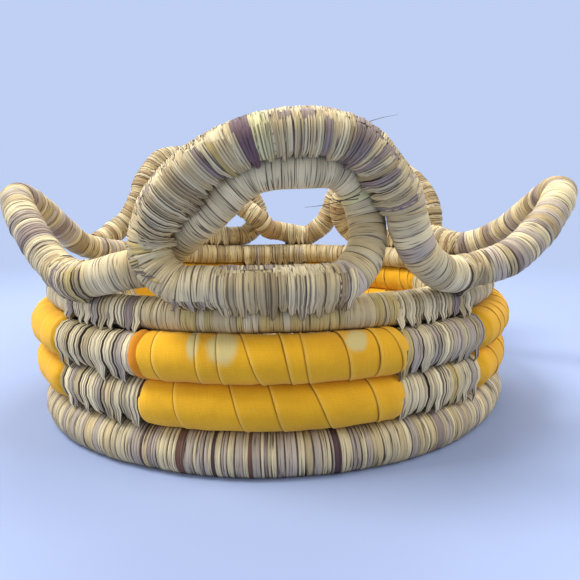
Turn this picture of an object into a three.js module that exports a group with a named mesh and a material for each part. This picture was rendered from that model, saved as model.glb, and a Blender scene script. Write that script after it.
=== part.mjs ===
// A round coiled basket. One bundle of grass is wound as a flat floor, climbs as a foot course, two
// patterned courses and a rim, and then runs on above the rim as five carrying loops. Strips of leaf
// are wrapped round the bundle all the way, and strips of cloth on the panels of the two middle courses.
import * as THREE from 'three';

// Sizes in millimetres. A coil size is the radius of the wrapped coil.
const footCoil = 9.3;
const secondCoil = 8.9;
const thirdCoil = 8.3;
const rimCoil = 6.0;
const loopCoil = 6.9;

// Centre radius of the foot course, and how far the other courses stand outside it
const footRing = 111.9;
const secondOut = -0.7;
const thirdOut = 1.1;
const rimOut = -2.3;
const loopOut = 5.0;

const wrapWall = 2.4;
const coreClearance = 0.5;
const endGap = 0.35;
const courseGap = 0.8;
const floorGap = 1.05;
const footFlat = 1.86;
const clothProud = 1.8;
const knotHeight = 14;

// Azimuths are in degrees from the front, growing to the right. Each course climbs onto the one
// below it in the same stretch at the back left, climbHalf turns to either side of climbAzimuth.
const climbAzimuth = 253;
const climbHalf = 0.17;
const panelCount = 5;
const panelStart = -23;
const panelWidth = 49;
const panelSteps = 3;
const naturalSteps = 2;

// The loops above the rim, in the order that the coil makes them. A curl goes once round its ring
// before it leaves; an arch only rises and leans out, the sooner the smaller its bow is. Spans run from
// the first to the last azimuth. The loops lie a little above a close seat, so that their bends clear
// the rim. The last loop comes down beside its seat, where the coil ends.
const archRise = 31.5;
const archSharpness = 1.6;
const archPoints = 10;
const ringHalfLength = 40.5;
const ringHalfHeight = 20.6;
const backRightHalfLength = 34;
const backLeftHalfHeight = 22;
const curlShear = 0.4;
const loops = [
  { name: 'left_arch', from: 251, to: 317, lean: 0.3, bow: 1.2 },
  { name: 'front_curl', from: 324, to: 399, centre: 361, length: ringHalfLength, height: ringHalfHeight },
  { name: 'right_arch', from: 404, to: 466, lean: 0.82, bow: 0.45 },
  { name: 'back_right_curl', from: 466, to: 531, centre: 498, length: backRightHalfLength, height: 19 },
  { name: 'back_left_curl', from: 531, to: 606, centre: 566, length: 38, height: backLeftHalfHeight },
];
const loopLift = 0.5;
const coilEndDrop = 6.7;
const coilEndOut = 10.4;
const longestLoopStep = 15;
const shortestLoopStep = 8;
const sharpestLoopTurn = 28;

// Whipped bindings that hold the loops down on the rim. Their reach to either side is a share of a
// step of the coil, and not over a longest length.
const bindingReach = 0.7;
const bindingLongest = 9;
const bindingSteps = 2;
const bindingArcSteps = 6;
const bindingWall = 0.8;
const bindingClearance = 0.9;
const bindingFootClearance = 1.1;

const outerSides = 8;
const coreSides = 4;

const leaf = new THREE.MeshStandardMaterial({ color: 0xb9a888, roughness: 0.75, metalness: 0 });
const cloth = new THREE.MeshStandardMaterial({ color: 0xdf9f18, roughness: 0.85, metalness: 0 });
const grass = new THREE.MeshStandardMaterial({ color: 0xa8946a, roughness: 0.85, metalness: 0 });
const stitch = new THREE.MeshStandardMaterial({ color: 0x8f7d68, roughness: 0.75, metalness: 0 });

const radians = THREE.MathUtils.degToRad;
const lerp = THREE.MathUtils.lerp;

// Course tables by level: 0 the foot, 1 and 2 the patterned courses, 3 the rim, 4 the loops where
// they lie on the rim, 5 a coil lying on that
const coilAtLevel = [footCoil, secondCoil, thirdCoil, rimCoil, loopCoil, loopCoil];
const ringAtLevel = [0, secondOut, thirdOut, rimOut, loopOut, loopOut].map((out) => footRing + out);
const heightAtLevel = [footCoil - footFlat];
for (let level = 1; level < coilAtLevel.length; level += 1) {
  const aside = ringAtLevel[level] - ringAtLevel[level - 1];
  heightAtLevel.push(heightAtLevel[level - 1] + seatRise(coilAtLevel[level - 1] + coilAtLevel[level], aside));
}

// How far a coil lies above one that it rests on, from both radii and how far it stands aside of it
function seatRise(radii, aside) {
  return Math.sqrt((radii + courseGap) ** 2 - aside ** 2);
}

// Centre radii of the floor's turns, from the foot inwards. Where a turn slants outwards to the
// next one it needs more room, and the more the smaller its radius is.
const steepestShare = 1.94;
const floorRings = [footRing];
function floorSpacing(ring) {
  const level = 2 * footCoil + floorGap;
  let spacing = level;
  for (let pass = 0; pass < 4; pass += 1) {
    const slope = (steepestShare * spacing) / (4 * Math.PI * climbHalf * (ring - spacing / 2));
    spacing = level * Math.sqrt(1 + slope * slope);
  }
  return spacing;
}
for (;;) {
  const ring = floorRings.at(-1);
  const next = ring - floorSpacing(ring);
  if (next < 2.5 * footCoil) break;
  floorRings.push(next);
}
const floorTurns = floorRings.length - 1;
const coilStart = -floorTurns + climbHalf + 0.02;

// The coil after a number of turns: the floor below 0, the wall from 0 to 4, the loops' seat above
function coilSection(turns) {
  const level = Math.floor(turns + climbHalf);
  const share = THREE.MathUtils.smoothstep(turns - level, -climbHalf, climbHalf) * (Math.PI / 2);
  if (level <= 0) {
    const inner = floorRings[Math.min(1 - level, floorTurns)];
    const outer = floorRings[Math.min(-level, floorTurns)];
    return { ring: lerp(outer, inner, Math.cos(share)), height: heightAtLevel[0], coil: footCoil };
  }
  const rise = Math.sin(share);
  const [ring, height, coil] = [ringAtLevel, heightAtLevel, coilAtLevel]
    .map((table) => lerp(table[level - 1], table[level], rise));
  if (level === 1) return { ring, height, coil };
  const below = coilSection(turns - 1);
  return { ring, height: below.height + seatRise(below.coil + coil, ring - below.ring), coil };
}

function around(azimuth, ring, height) {
  const angle = radians(azimuth);
  return new THREE.Vector3(ring * Math.sin(angle), -ring * Math.cos(angle), height);
}

function turnsAt(azimuth, course) {
  return course + (azimuth - climbAzimuth) / 360;
}

// A point of a loop: along the rim from an azimuth, up from its seat, and out from it
function loopPoint(azimuth, along, up, out) {
  const there = azimuth + THREE.MathUtils.radToDeg(along / (footRing + loopOut));
  const seat = coilSection(turnsAt(there, 4));
  return around(there, seat.ring + out, seat.height + loopLift + up);
}

function archRoute(loop) {
  const points = [];
  for (let i = 1; i < archPoints; i += 1) {
    const rise = Math.sin((Math.PI * i) / archPoints) ** archSharpness;
    const out = loop.lean * archRise * rise ** loop.bow;
    points.push(loopPoint(lerp(loop.from, loop.to, i / archPoints), 0, archRise * rise, out));
  }
  return points;
}

// A curl: the coil comes in on the inner side, rises to the inner top, rounds the far end, runs back
// along the rim, rounds the near end outside its own incoming leg, and goes over the outer top.
// Lengths are shares of the ring's half length and half height, and how far out the coil stands is a
// share of its pitch. The near end's radius grows by a share of the coil's. The leaving leg's first
// number is its share of the way to the seat, and its last one is how far it has come to the coil's end.
const curlIncomingLeg = [
  [-1.235, 0.27, -0.65], [-1.03, 0.61, -0.86], [-0.79, 0.92, -0.72],
  [-0.56, 1.21, -0.55], [-0.22, 1.79, -0.55], [0.04, 1.95, -0.48],
];
const curlFarEnd = [
  [100, -0.46], [70, -0.56], [40, -0.71], [10, -0.69], [-20, -0.46], [-50, -0.22], [-80, -0.06],
];
const curlNearEnd = [[-100, 0, 0.03], [-122, 0.35, 0.1], [-148, 0.45, 0.17], [-172, 0.15, 0.17]];
const curlLeavingLeg = [
  [0, 1, 0.15, 0], [0.11, 0.707, 0.1, 0.1], [0.32, 0.343, 0.05, 0.6], [0.72, 0.06, 0, 0.95],
];
const curlOuterOut = 0.25;
const curlRingPoint = curlIncomingLeg.length + curlFarEnd.length;
function curlRoute(loop, last) {
  const pitch = 2 * loopCoil + courseGap;
  const { length, height } = loop;
  const straight = length - height;
  const lengthIn = radians(loop.centre - loop.from) * (footRing + loopOut);
  const lengthOut = radians(loop.to - loop.centre) * (footRing + loopOut);
  const points = [];
  const at = (along, up, out) => points.push(loopPoint(loop.centre, along, up, out * pitch));
  const bend = (middle, degrees, radius, out) => {
    const angle = radians(degrees);
    at(middle + radius * Math.cos(angle), height + radius * Math.sin(angle), out);
  };
  at(-(lengthIn + length) / 2, 0.2 * height, -0.34);
  for (const [along, up, out] of curlIncomingLeg) at(along * length, up * height, out);
  for (const [degrees, out] of curlFarEnd) bend(straight, degrees, height, out);
  at(-0.2 * straight, 0, 0);
  for (const [degrees, growth, out] of curlNearEnd) bend(-straight, degrees, height + growth * loopCoil, out);
  for (let degrees = 162; degrees >= 37; degrees -= 25) {
    const up = (height + 0.76 * pitch) * Math.sin(radians(degrees));
    at(length * Math.cos(radians(degrees)) + curlShear * up, height + up, curlOuterOut);
  }
  const legFoot = length + 0.55 * pitch;
  const [drop, aside] = last ? [coilEndDrop, coilEndOut] : [0, 0];
  for (const [share, up, out, end] of curlLeavingLeg) {
    at(lerp(legFoot, lengthOut, share), up * 1.44 * height - end * drop, out + (end * aside) / pitch);
  }
  return points;
}

// Stations along the whole coil, each with its centre, coil radius and azimuth
const stations = [];
const marks = {};
function addStation(point, coil, azimuth) {
  stations.push({ point, coil, azimuth });
}

// Floor and wall stations stand at the same azimuths on every turn, so that neighbouring turns bend
// alike. The panels' ends are among them.
const panelPitch = 360 / panelCount;
const azimuthsInTurn = [];
for (let panel = 0; panel < panelCount; panel += 1) {
  const from = panelStart + panel * panelPitch;
  for (let i = 0; i < panelSteps; i += 1) azimuthsInTurn.push(from + (i / panelSteps) * panelWidth);
  const natural = panelPitch - panelWidth;
  for (let i = 0; i < naturalSteps; i += 1) {
    azimuthsInTurn.push(from + panelWidth + (i / naturalSteps) * natural);
  }
}
const turnsInGrid = azimuthsInTurn
  .map((azimuth) => THREE.MathUtils.euclideanModulo(turnsAt(azimuth, 0), 1))
  .sort((a, b) => a - b);
const wallEnd = 4;
const gridTurns = [coilStart];
for (let turn = Math.floor(coilStart); turn < wallEnd; turn += 1) {
  for (const share of turnsInGrid) {
    if (turn + share > coilStart + 0.01) gridTurns.push(turn + share);
  }
}
// A course of straight steps is as much outside its round as inside it
const stepReach = 2 / (1 + Math.cos(radians(panelWidth / panelSteps / 2)));
for (const turns of gridTurns) {
  const { ring, height, coil } = coilSection(turns);
  const azimuth = climbAzimuth + 360 * turns;
  addStation(around(azimuth, ring * stepReach, height), coil, azimuth);
}
const wallStations = stations.length;

// The loops' route starts on the wall's last two stations and ends beside the coil that it began on
const route = stations.slice(-2).map((station) => station.point);
const routeMarks = [];
loops.forEach((loop, order) => {
  const last = order === loops.length - 1;
  const seatStart = loopPoint(loop.from, 0, 0, 0);
  if (order > 0 && route.at(-1).distanceTo(seatStart) > loopCoil) route.push(seatStart);
  routeMarks.push({ name: loop.name, index: route.length - 1 });
  if (loop.centre === undefined) {
    route.push(...archRoute(loop));
  } else {
    routeMarks.push({ name: `${loop.name}_ring`, index: route.length + curlRingPoint });
    route.push(...curlRoute(loop, last));
  }
  route.push(last ? loopPoint(loop.to, 0, -coilEndDrop, coilEndOut) : loopPoint(loop.to, 0, 0, 0));
});
const routeCurve = new THREE.CatmullRomCurve3(route, false, 'catmullrom', 0.5);
const finePerPoint = 10;
const fineCount = (route.length - 1) * finePerPoint;
const fine = [];
for (let i = finePerPoint; i <= fineCount; i += 1) fine.push(routeCurve.getPoint(i / fineCount));

function azimuthOf(point, near) {
  const azimuth = THREE.MathUtils.radToDeg(Math.atan2(point.x, -point.y));
  return azimuth + 360 * Math.round((near - azimuth) / 360);
}
let lastAzimuth = stations.at(-1).azimuth;
let run = 0;
let turned = 0;
let pinned = true;
for (let i = 1; i < fine.length; i += 1) {
  const ahead = fine[i].clone().sub(fine[i - 1]);
  run += ahead.length();
  if (i + 1 < fine.length) turned += THREE.MathUtils.radToDeg(ahead.angleTo(fine[i + 1].clone().sub(fine[i])));
  const mark = routeMarks.find((entry) => entry.index * finePerPoint === i + finePerPoint);
  const pin = mark !== undefined || i === fine.length - 1;
  if (pin || run >= longestLoopStep || turned >= sharpestLoopTurn) {
    while (pin && !pinned && fine[i].distanceTo(stations.at(-1).point) < shortestLoopStep) stations.pop();
    pinned = pin;
    lastAzimuth = azimuthOf(fine[i], lastAzimuth);
    addStation(fine[i], loopCoil, lastAzimuth);
    if (mark) marks[mark.name] = stations.length - 1;
    run = 0;
    turned = 0;
  }
}

// A frame across the coil at each station: out from the basket's axis, and square to that
stations.forEach((station, index) => {
  const before = stations[Math.max(index - 1, 0)].point;
  const after = stations[Math.min(index + 1, stations.length - 1)].point;
  const ahead = after.clone().sub(before).normalize();
  const out = around(station.azimuth, 1, 0);
  station.out = out.sub(ahead.clone().multiplyScalar(out.dot(ahead))).normalize();
  station.side = ahead.cross(station.out);
});

function sectionRing(station, radius, sides, shift = 0) {
  const points = [];
  for (let i = 0; i < sides; i += 1) {
    const angle = ((i + 0.5) * 2 * Math.PI) / sides;
    const point = station.point.clone()
      .addScaledVector(station.out, shift + radius * Math.cos(angle))
      .addScaledVector(station.side, radius * Math.sin(angle));
    point.z = Math.max(point.z, 0);
    points.push(point);
  }
  return points;
}

// A faceted coil is as much outside its round as inside it
const facetReach = 2 / (1 + Math.cos(Math.PI / outerSides));
const wrapRing = (station) => sectionRing(station, station.coil * facetReach, outerSides);
const clothRing = (station) => sectionRing(station, station.coil * facetReach, outerSides, clothProud);
const boreRing = (station) => sectionRing(station, station.coil - wrapWall, coreSides);
const coreRing = (station) => sectionRing(station, station.coil - wrapWall - coreClearance, coreSides);

// The end of a folded band is filled from one side of the band to the other
function foldedCap(count) {
  const faces = [];
  for (let i = 0; i + 1 < count / 2; i += 1) {
    faces.push([i, i + 1, count - 2 - i], [i, count - 2 - i, count - 1 - i]);
  }
  return faces;
}

// A closed solid through rows of like rings. A bore, where there is one, runs through it end to end.
// The rings of a folded band go along its outside and back along its inside.
function sweep(outerRows, boreRows, folded = false) {
  const positions = [];
  const triangles = [];
  const add = (rows) => rows.map((row) => row.map((point) => positions.push(...point) / 3 - 1));
  const skin = (rows, inwards) => {
    for (let i = 0; i + 1 < rows.length; i += 1) {
      const sides = rows[i].length;
      for (let j = 0; j < sides; j += 1) {
        const k = (j + 1) % sides;
        const [a, b, c, d] = [rows[i][j], rows[i][k], rows[i + 1][k], rows[i + 1][j]];
        const backOfBand = folded && j >= sides / 2;
        const corners = backOfBand ? [a, b, d, b, c, d] : [a, b, c, a, c, d];
        triangles.push(...(inwards ? corners.reverse() : corners));
      }
    }
  };
  const flat = (row) => {
    const [origin, first] = row;
    const u = first.clone().sub(origin).normalize();
    const normal = new THREE.Vector3();
    row.forEach((point, i) => normal.add(point.clone().cross(row[(i + 1) % row.length])));
    const v = normal.normalize().clone().cross(u);
    return (point) => new THREE.Vector2(point.clone().sub(origin).dot(u), point.clone().sub(origin).dot(v));
  };
  const flatCap = (end) => {
    const flatten = flat(outerRows[end]);
    const hole = boreRows ? [boreRows[end].map(flatten)] : [];
    return THREE.ShapeUtils.triangulateShape(outerRows[end].map(flatten), hole);
  };
  const cap = (end, facing) => {
    const indices = [...outer[end], ...(boreRows ? bore[end] : [])];
    for (const [a, b, c] of folded ? foldedCap(outer[end].length) : flatCap(end)) {
      const [p, q, r] = facing ? [a, b, c] : [a, c, b];
      triangles.push(indices[p], indices[q], indices[r]);
    }
  };
  const outer = add(outerRows);
  const bore = boreRows ? add(boreRows) : [];
  skin(outer, false);
  if (boreRows) skin(bore, true);
  cap(0, false);
  cap(outerRows.length - 1, true);
  const geometry = new THREE.BufferGeometry();
  geometry.setAttribute('position', new THREE.Float32BufferAttribute(positions, 3));
  geometry.setIndex(triangles);
  return geometry;
}

const basket = new THREE.Group();
function addPiece(name, geometry, material) {
  if (signedVolume(geometry) < 0) geometry.setIndex([...geometry.index.array].reverse());
  geometry.computeVertexNormals();
  const piece = new THREE.Mesh(geometry, material);
  piece.name = name;
  basket.add(piece);
}

function signedVolume(geometry) {
  const points = geometry.attributes.position;
  const [a, b, c] = [new THREE.Vector3(), new THREE.Vector3(), new THREE.Vector3()];
  let volume = 0;
  for (let i = 0; i < geometry.index.count; i += 3) {
    [a, b, c].forEach((corner, j) => corner.fromBufferAttribute(points, geometry.index.getX(i + j)));
    volume += a.dot(b.cross(c)) / 6;
  }
  return volume;
}

// A row part way between two stations, so that a sleeve's end stays in line with the core inside it
function rowBetween(ringOf, from, to, distance) {
  const share = distance / stations[from].point.distanceTo(stations[to].point);
  const near = ringOf(stations[from]);
  const far = ringOf(stations[to]);
  return near.map((point, i) => point.lerp(far[i], share));
}

// A wrapping round the coil from one station to another, open at both ends for the core
function sleeve(name, from, to, ringOf, material) {
  const rows = (ring) => {
    const middle = [];
    for (let i = from + 1; i < to; i += 1) middle.push(ring(stations[i]));
    return [rowBetween(ring, from, from + 1, endGap / 2), ...middle, rowBetween(ring, to, to - 1, endGap / 2)];
  };
  addPiece(name, sweep(rows(ringOf), rows(boreRing)), material);
}

// The grass core, one unbroken tube from the floor's centre to the end of the last loop
addPiece('grass_core', sweep(stations.map(coreRing)), grass);

// The wall's station nearest to a number of turns
const stationAt = (turns) => {
  const off = (index) => Math.abs(turnsAt(stations[index].azimuth, 0) - turns);
  let best = 0;
  for (let index = 1; index < wallStations; index += 1) {
    if (off(index) < off(best)) best = index;
  }
  return best;
};
const panelTurns = (panel, course) => {
  const from = turnsAt(panelStart + panel * panelPitch, 0);
  return course + THREE.MathUtils.euclideanModulo(from, 1);
};

// Floor, foot and rim wraps, and between them the panels of cloth with leaf wrapping between these
const panelNames = ['front', 'right', 'back_right', 'back_left', 'left'];
const panelsInOrder = [...Array(panelCount).keys()]
  .sort((a, b) => panelTurns(a, 0) - panelTurns(b, 0));
const nameOf = (panel) => panelNames[panel] ?? `panel_${panel + 1}`;
const firstPanel = panelsInOrder[0];
const widthInTurns = panelWidth / 360;
sleeve('floor_wrap', 0, stationAt(0), wrapRing, leaf);
sleeve('foot_wrap', stationAt(0), stationAt(panelTurns(firstPanel, 1)), wrapRing, leaf);
for (const [course, courseName] of [[1, 'second_course'], [2, 'third_course']]) {
  panelsInOrder.forEach((panel, order) => {
    const from = panelTurns(panel, course);
    const to = from + widthInTurns;
    sleeve(`${courseName}_cloth_${nameOf(panel)}`, stationAt(from), stationAt(to), clothRing, cloth);
    const last = order === panelCount - 1;
    if (last && course === 2) return;
    const next = last ? panelTurns(firstPanel, course + 1) : panelTurns(panelsInOrder[order + 1], course);
    sleeve(`${courseName}_leaf_${nameOf(panel)}`, stationAt(to), stationAt(next), wrapRing, leaf);
  });
}
const rimStart = panelTurns(panelsInOrder.at(-1), 2) + widthInTurns;
sleeve('rim_wrap', stationAt(rimStart), wallStations - 1, wrapRing, leaf);

// The loops' wraps, from one seat on the rim to the next
loops.forEach((loop, order) => {
  const from = order === 0 ? wallStations - 1 : marks[loop.name];
  const to = order + 1 < loops.length ? marks[loops[order + 1].name] : stations.length - 1;
  sleeve(`${loop.name}_wrap`, from, to, wrapRing, leaf);
});

// A binding lies over a loop's coil and runs tight down both sides to the middle of the coil below it
const courseSwing = footRing * (stepReach - 1);
function bindingRow(station) {
  const { point, out, side } = station;
  const below = coilSection(turnsAt(station.azimuth, -1));
  const aside = Math.hypot(point.x, point.y) - below.ring;
  const rise = point.z - below.height;
  const level = around(station.azimuth, 1, 0);
  const walk = (offset) => {
    const half = loopCoil * facetReach + bindingClearance + offset;
    const foot = below.coil * facetReach + courseSwing + bindingFootClearance + offset;
    const middle = Math.atan2(rise, aside);
    const spread = Math.acos((half - foot) / Math.hypot(aside, rise));
    const onLoop = (angle) => point.clone()
      .addScaledVector(out, half * Math.cos(angle))
      .addScaledVector(side, Math.sign(side.z) * half * Math.sin(angle));
    const onRim = (across, up) => point.clone()
      .addScaledVector(level, across - aside)
      .setZ(below.height + up);
    const leg = (hand, lift) => {
      if (lift > 0) return [onRim(hand * foot * Math.cos(lift), foot * Math.sin(lift)), onRim(hand * foot, 0)];
      const end = onRim((hand * foot) / Math.cos(lift), 0);
      return [onLoop(hand > 0 ? lift : Math.PI - lift).lerp(end, 0.5), end];
    };
    const arc = [];
    for (let i = 0; i <= bindingArcSteps; i += 1) {
      arc.push(onLoop(middle + spread * ((2 * i) / bindingArcSteps - 1)));
    }
    const outer = leg(1, middle - spread);
    const inner = leg(-1, Math.PI - middle - spread);
    return [...outer.reverse(), ...arc, ...inner];
  };
  return [...walk(bindingWall), ...walk(0).reverse()];
}
for (const [name, mark] of [
  ['binding_left_front', 'front_curl'],
  ['binding_front_ring', 'front_curl_ring'],
  ['binding_right_front', 'right_arch'],
  ['binding_right_back', 'back_right_curl'],
  ['binding_back_right_ring', 'back_right_curl_ring'],
  ['binding_back', 'back_left_curl'],
  ['binding_back_left_ring', 'back_left_curl_ring'],
]) {
  const rows = [];
  const station = stations[marks[mark]];
  for (let step = -bindingSteps; step <= bindingSteps; step += 1) {
    const beside = stations[marks[mark] + Math.sign(step)];
    const reach = Math.min(bindingReach, bindingLongest / station.point.distanceTo(beside.point));
    const middle = bindingRow(station);
    const next = bindingRow(beside);
    rows.push(middle.map((point, i) => point.lerp(next[i], (reach * Math.abs(step)) / bindingSteps)));
  }
  addPiece(name, sweep(rows, undefined, true), stitch);
}

// The knot where the coil begins, filling the floor's centre up to the first turn
const knotOutline = new THREE.Shape();
const knotTurns = gridTurns.filter((turns) => turns < coilStart + 1);
knotTurns.forEach((turns, index) => {
  const ring = coilSection(turns).ring * stepReach - footCoil * facetReach - floorGap;
  const corner = around(climbAzimuth + 360 * turns, ring, 0);
  if (index === 0) knotOutline.moveTo(corner.x, corner.y);
  else knotOutline.lineTo(corner.x, corner.y);
});
knotOutline.closePath();
const knot = new THREE.ExtrudeGeometry(knotOutline, { depth: knotHeight, bevelEnabled: false });
const knotPiece = new THREE.Mesh(knot, leaf);
knotPiece.name = 'floor_start_knot';
basket.add(knotPiece);

// Least gap of the coil to itself, on points along it, leaving out what is next along the coil
const gapPoints = [];
for (let turns = coilStart; turns < gridTurns.at(-1); turns += 1 / 100) {
  const { ring, height, coil } = coilSection(turns);
  gapPoints.push({ point: around(climbAzimuth + 360 * turns, ring, height), coil });
}
fine.slice(1).forEach((point) => gapPoints.push({ point, coil: loopCoil }));
const nextAlong = 5 * footCoil;
let along = 0;
gapPoints.forEach((entry, i) => {
  if (i > 0) along += entry.point.distanceTo(gapPoints[i - 1].point);
  entry.along = along;
});
let leastGap = Infinity;
for (const a of gapPoints) {
  for (const b of gapPoints) {
    if (b.along - a.along < nextAlong) continue;
    leastGap = Math.min(leastGap, a.point.distanceTo(b.point) - a.coil - b.coil);
  }
}
console.log(`least gap of the coil to itself: ${leastGap.toFixed(2)} mm`);

export default basket;
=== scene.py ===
"""Dresses a coiled grass basket: leaf wrapping, cloth panels, stitches, and a plain studio round them."""
import logging
import math
from dataclasses import dataclass
from enum import Enum, IntEnum
from typing import Any, Iterator, Sequence

import bmesh
import bpy
import numpy as np
from mathutils import Matrix, Vector


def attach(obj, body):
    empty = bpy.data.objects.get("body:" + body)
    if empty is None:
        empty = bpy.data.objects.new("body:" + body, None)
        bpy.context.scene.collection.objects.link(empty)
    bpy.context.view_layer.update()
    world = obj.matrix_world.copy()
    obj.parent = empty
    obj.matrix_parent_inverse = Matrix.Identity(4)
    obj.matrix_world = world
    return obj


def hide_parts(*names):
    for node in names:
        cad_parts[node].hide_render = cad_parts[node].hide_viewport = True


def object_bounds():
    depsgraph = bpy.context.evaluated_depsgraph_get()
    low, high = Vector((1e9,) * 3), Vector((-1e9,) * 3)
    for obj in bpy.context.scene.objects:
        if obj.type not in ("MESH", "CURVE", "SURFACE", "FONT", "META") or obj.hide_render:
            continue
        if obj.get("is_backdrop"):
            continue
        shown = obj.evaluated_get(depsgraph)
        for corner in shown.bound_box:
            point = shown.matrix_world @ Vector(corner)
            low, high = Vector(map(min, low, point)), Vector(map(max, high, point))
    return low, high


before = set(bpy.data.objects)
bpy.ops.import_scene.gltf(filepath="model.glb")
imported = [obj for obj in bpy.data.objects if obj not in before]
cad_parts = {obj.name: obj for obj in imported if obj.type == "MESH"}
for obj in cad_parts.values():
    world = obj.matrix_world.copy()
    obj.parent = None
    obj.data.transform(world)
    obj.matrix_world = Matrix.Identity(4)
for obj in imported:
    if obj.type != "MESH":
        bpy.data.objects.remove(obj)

CAD_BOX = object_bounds()
LOG = logging.getLogger("basket")
MM = 0.001
BODY = "root"
WELD = 0.001
TURN_SHADE = (0.92, 1.06)
Array = np.ndarray
Rng = np.random.Generator
Material = bpy.types.Material
Piece = bpy.types.Object
Triple = tuple[float, float, float]
Colour = tuple[float, float, float, float]


class Level(IntEnum):
    """What the coil makes, from below."""

    FOOT = 0
    SECOND = 1
    THIRD = 2
    RIM = 3
    LOOPS = 4


class Seed(IntEnum):
    """Where the random numbers of each group of pieces start."""

    COURSE_PLAN = 7
    LOOP_PLAN = 8
    KNOT = 10
    FLOOR = 11
    FOOT = 12
    RIM = 13
    COURSE_STITCHES = 20
    RING_STITCHES = 30
    BINDINGS = 40
    FLOOR_STITCHES = 50
    FRAYED_ENDS = 60
    LOOPS = 300


class LeafTone(Enum):
    """Colours of split leaf, as sRGB hex codes."""

    IVORY = "e8d9b0"
    CREAM = "d9caa2"
    BEIGE = "c9b68a"
    SAND = "ad9870"
    TAN = "b2966a"
    GREY = "b8aa98"
    MAUVE = "96857c"
    OLIVE = "c4ae6e"
    LIME = "d9d19c"
    PLUM = "6d545c"
    PURPLE = "523a3d"
    RUST = "77503f"
    SHADE = "54463c"


def linear(code: str) -> Array:
    """The linear colour of an sRGB hex code.

    Args:
        code: six hex digits.

    Returns:
        Red, green and blue from 0 to 1.
    """
    srgb = np.array([int(code[i:i + 2], 16) / 255 for i in (0, 2, 4)])
    return np.where(srgb <= 0.04045, srgb / 12.92, ((srgb + 0.055) / 1.055) ** 2.4)


@dataclass(frozen=True)
class StripMix:
    """How often each tone turns up among neighbouring strips."""

    tones: tuple[tuple[LeafTone, float], ...]

    def draw(self, rng: Rng) -> LeafTone:
        """One tone, drawn by weight."""
        weights = np.array([weight for _, weight in self.tones])
        return self.tones[rng.choice(len(weights), p=weights / weights.sum())][0]


def strip_mix(**weights: float) -> StripMix:
    """A mix from weights by the tones' names."""
    return StripMix(tuple((LeafTone[name], weight) for name, weight in weights.items()))


PLAIN = strip_mix(CREAM=5, BEIGE=5, SAND=2, OLIVE=0.5, MAUVE=0.8, PLUM=0.05)
GREYED = strip_mix(CREAM=4, GREY=4, BEIGE=2, MAUVE=1.3, SAND=1, PURPLE=0.08, RUST=0.04)
ASHEN = strip_mix(GREY=4, CREAM=4, BEIGE=1.5, MAUVE=0.7, PURPLE=0.06)
DUSKY = strip_mix(MAUVE=4, GREY=3, CREAM=1, SAND=1, PURPLE=0.6)
BROAD = strip_mix(OLIVE=6, CREAM=1.5, BEIGE=3)
WARM = strip_mix(TAN=2.5, BEIGE=5, SAND=1.5, CREAM=3, RUST=0.03)
PALE = strip_mix(CREAM=4, BEIGE=4, GREY=2, OLIVE=1)
FRESH = strip_mix(IVORY=4, CREAM=4, LIME=0.6)
LIGHT = strip_mix(IVORY=3, CREAM=4, BEIGE=2, GREY=2, MAUVE=0.6, OLIVE=0.4, PURPLE=0.06)
# SHADED, with the SHADE tone, is painted shade: dark strips for the wraps under the course stitches, so that
# the gaps between stitches look shaded.
SHADED = strip_mix(SHADE=3, MAUVE=1, SAND=1)


@dataclass(frozen=True)
class Loop:
    """A carrying loop, in degrees and millimetres. Only a curl has a centre."""

    name: str
    start: float
    end: float
    lean: float = 0.0
    bow: float = 1.0
    centre: float | None = None
    half_length: float = 40.5
    half_height: float = 20.6


LOOPS = (
    Loop("left_arch", 251, 317, lean=0.3, bow=1.2),
    Loop("front_curl", 324, 399, centre=361),
    Loop("right_arch", 404, 466, lean=0.82, bow=0.45),
    Loop("back_right_curl", 466, 531, centre=498, half_length=34, half_height=19),
    Loop("back_left_curl", 531, 606, centre=566, half_length=38, half_height=22),
)


class CurlPoint(IntEnum):
    """Numbers of a curl's points, counted from the first one after its seat."""

    FIRST = 0
    RING_SEAT = 13
    NEAR_END = 15
    LEAVING = 25


@dataclass(frozen=True)
class CurlShape:
    """A curl in shares of its ring's half length and half height, and outwards of the coil's pitch."""

    incoming: tuple[tuple[float, float, float], ...] = (
        (-1.235, 0.27, -0.65), (-1.03, 0.61, -0.86), (-0.79, 0.92, -0.72),
        (-0.56, 1.21, -0.55), (-0.22, 1.79, -0.55), (0.04, 1.95, -0.48),
    )
    far_end: tuple[tuple[float, float], ...] = (
        (100, -0.46), (70, -0.56), (40, -0.71), (10, -0.69), (-20, -0.46), (-50, -0.22), (-80, -0.06),
    )
    near_end: tuple[tuple[float, float, float], ...] = (
        (-100, 0, 0.03), (-122, 0.35, 0.1), (-148, 0.45, 0.17), (-172, 0.15, 0.17),
    )
    leaving: tuple[tuple[float, float, float, float], ...] = (
        (0, 1, 0.15, 0), (0.11, 0.707, 0.1, 0.1), (0.32, 0.343, 0.05, 0.6), (0.72, 0.06, 0, 0.95),
    )
    first_up: float = 0.2
    first_out: float = -0.34
    bottom_along: float = -0.2
    outer_degrees: tuple[int, int, int] = (162, 36, -25)
    outer_out: float = 0.25
    outer_rise: float = 0.76
    shear: float = 0.4
    leg_aside: float = 0.55
    leg_rise: float = 1.44


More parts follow.
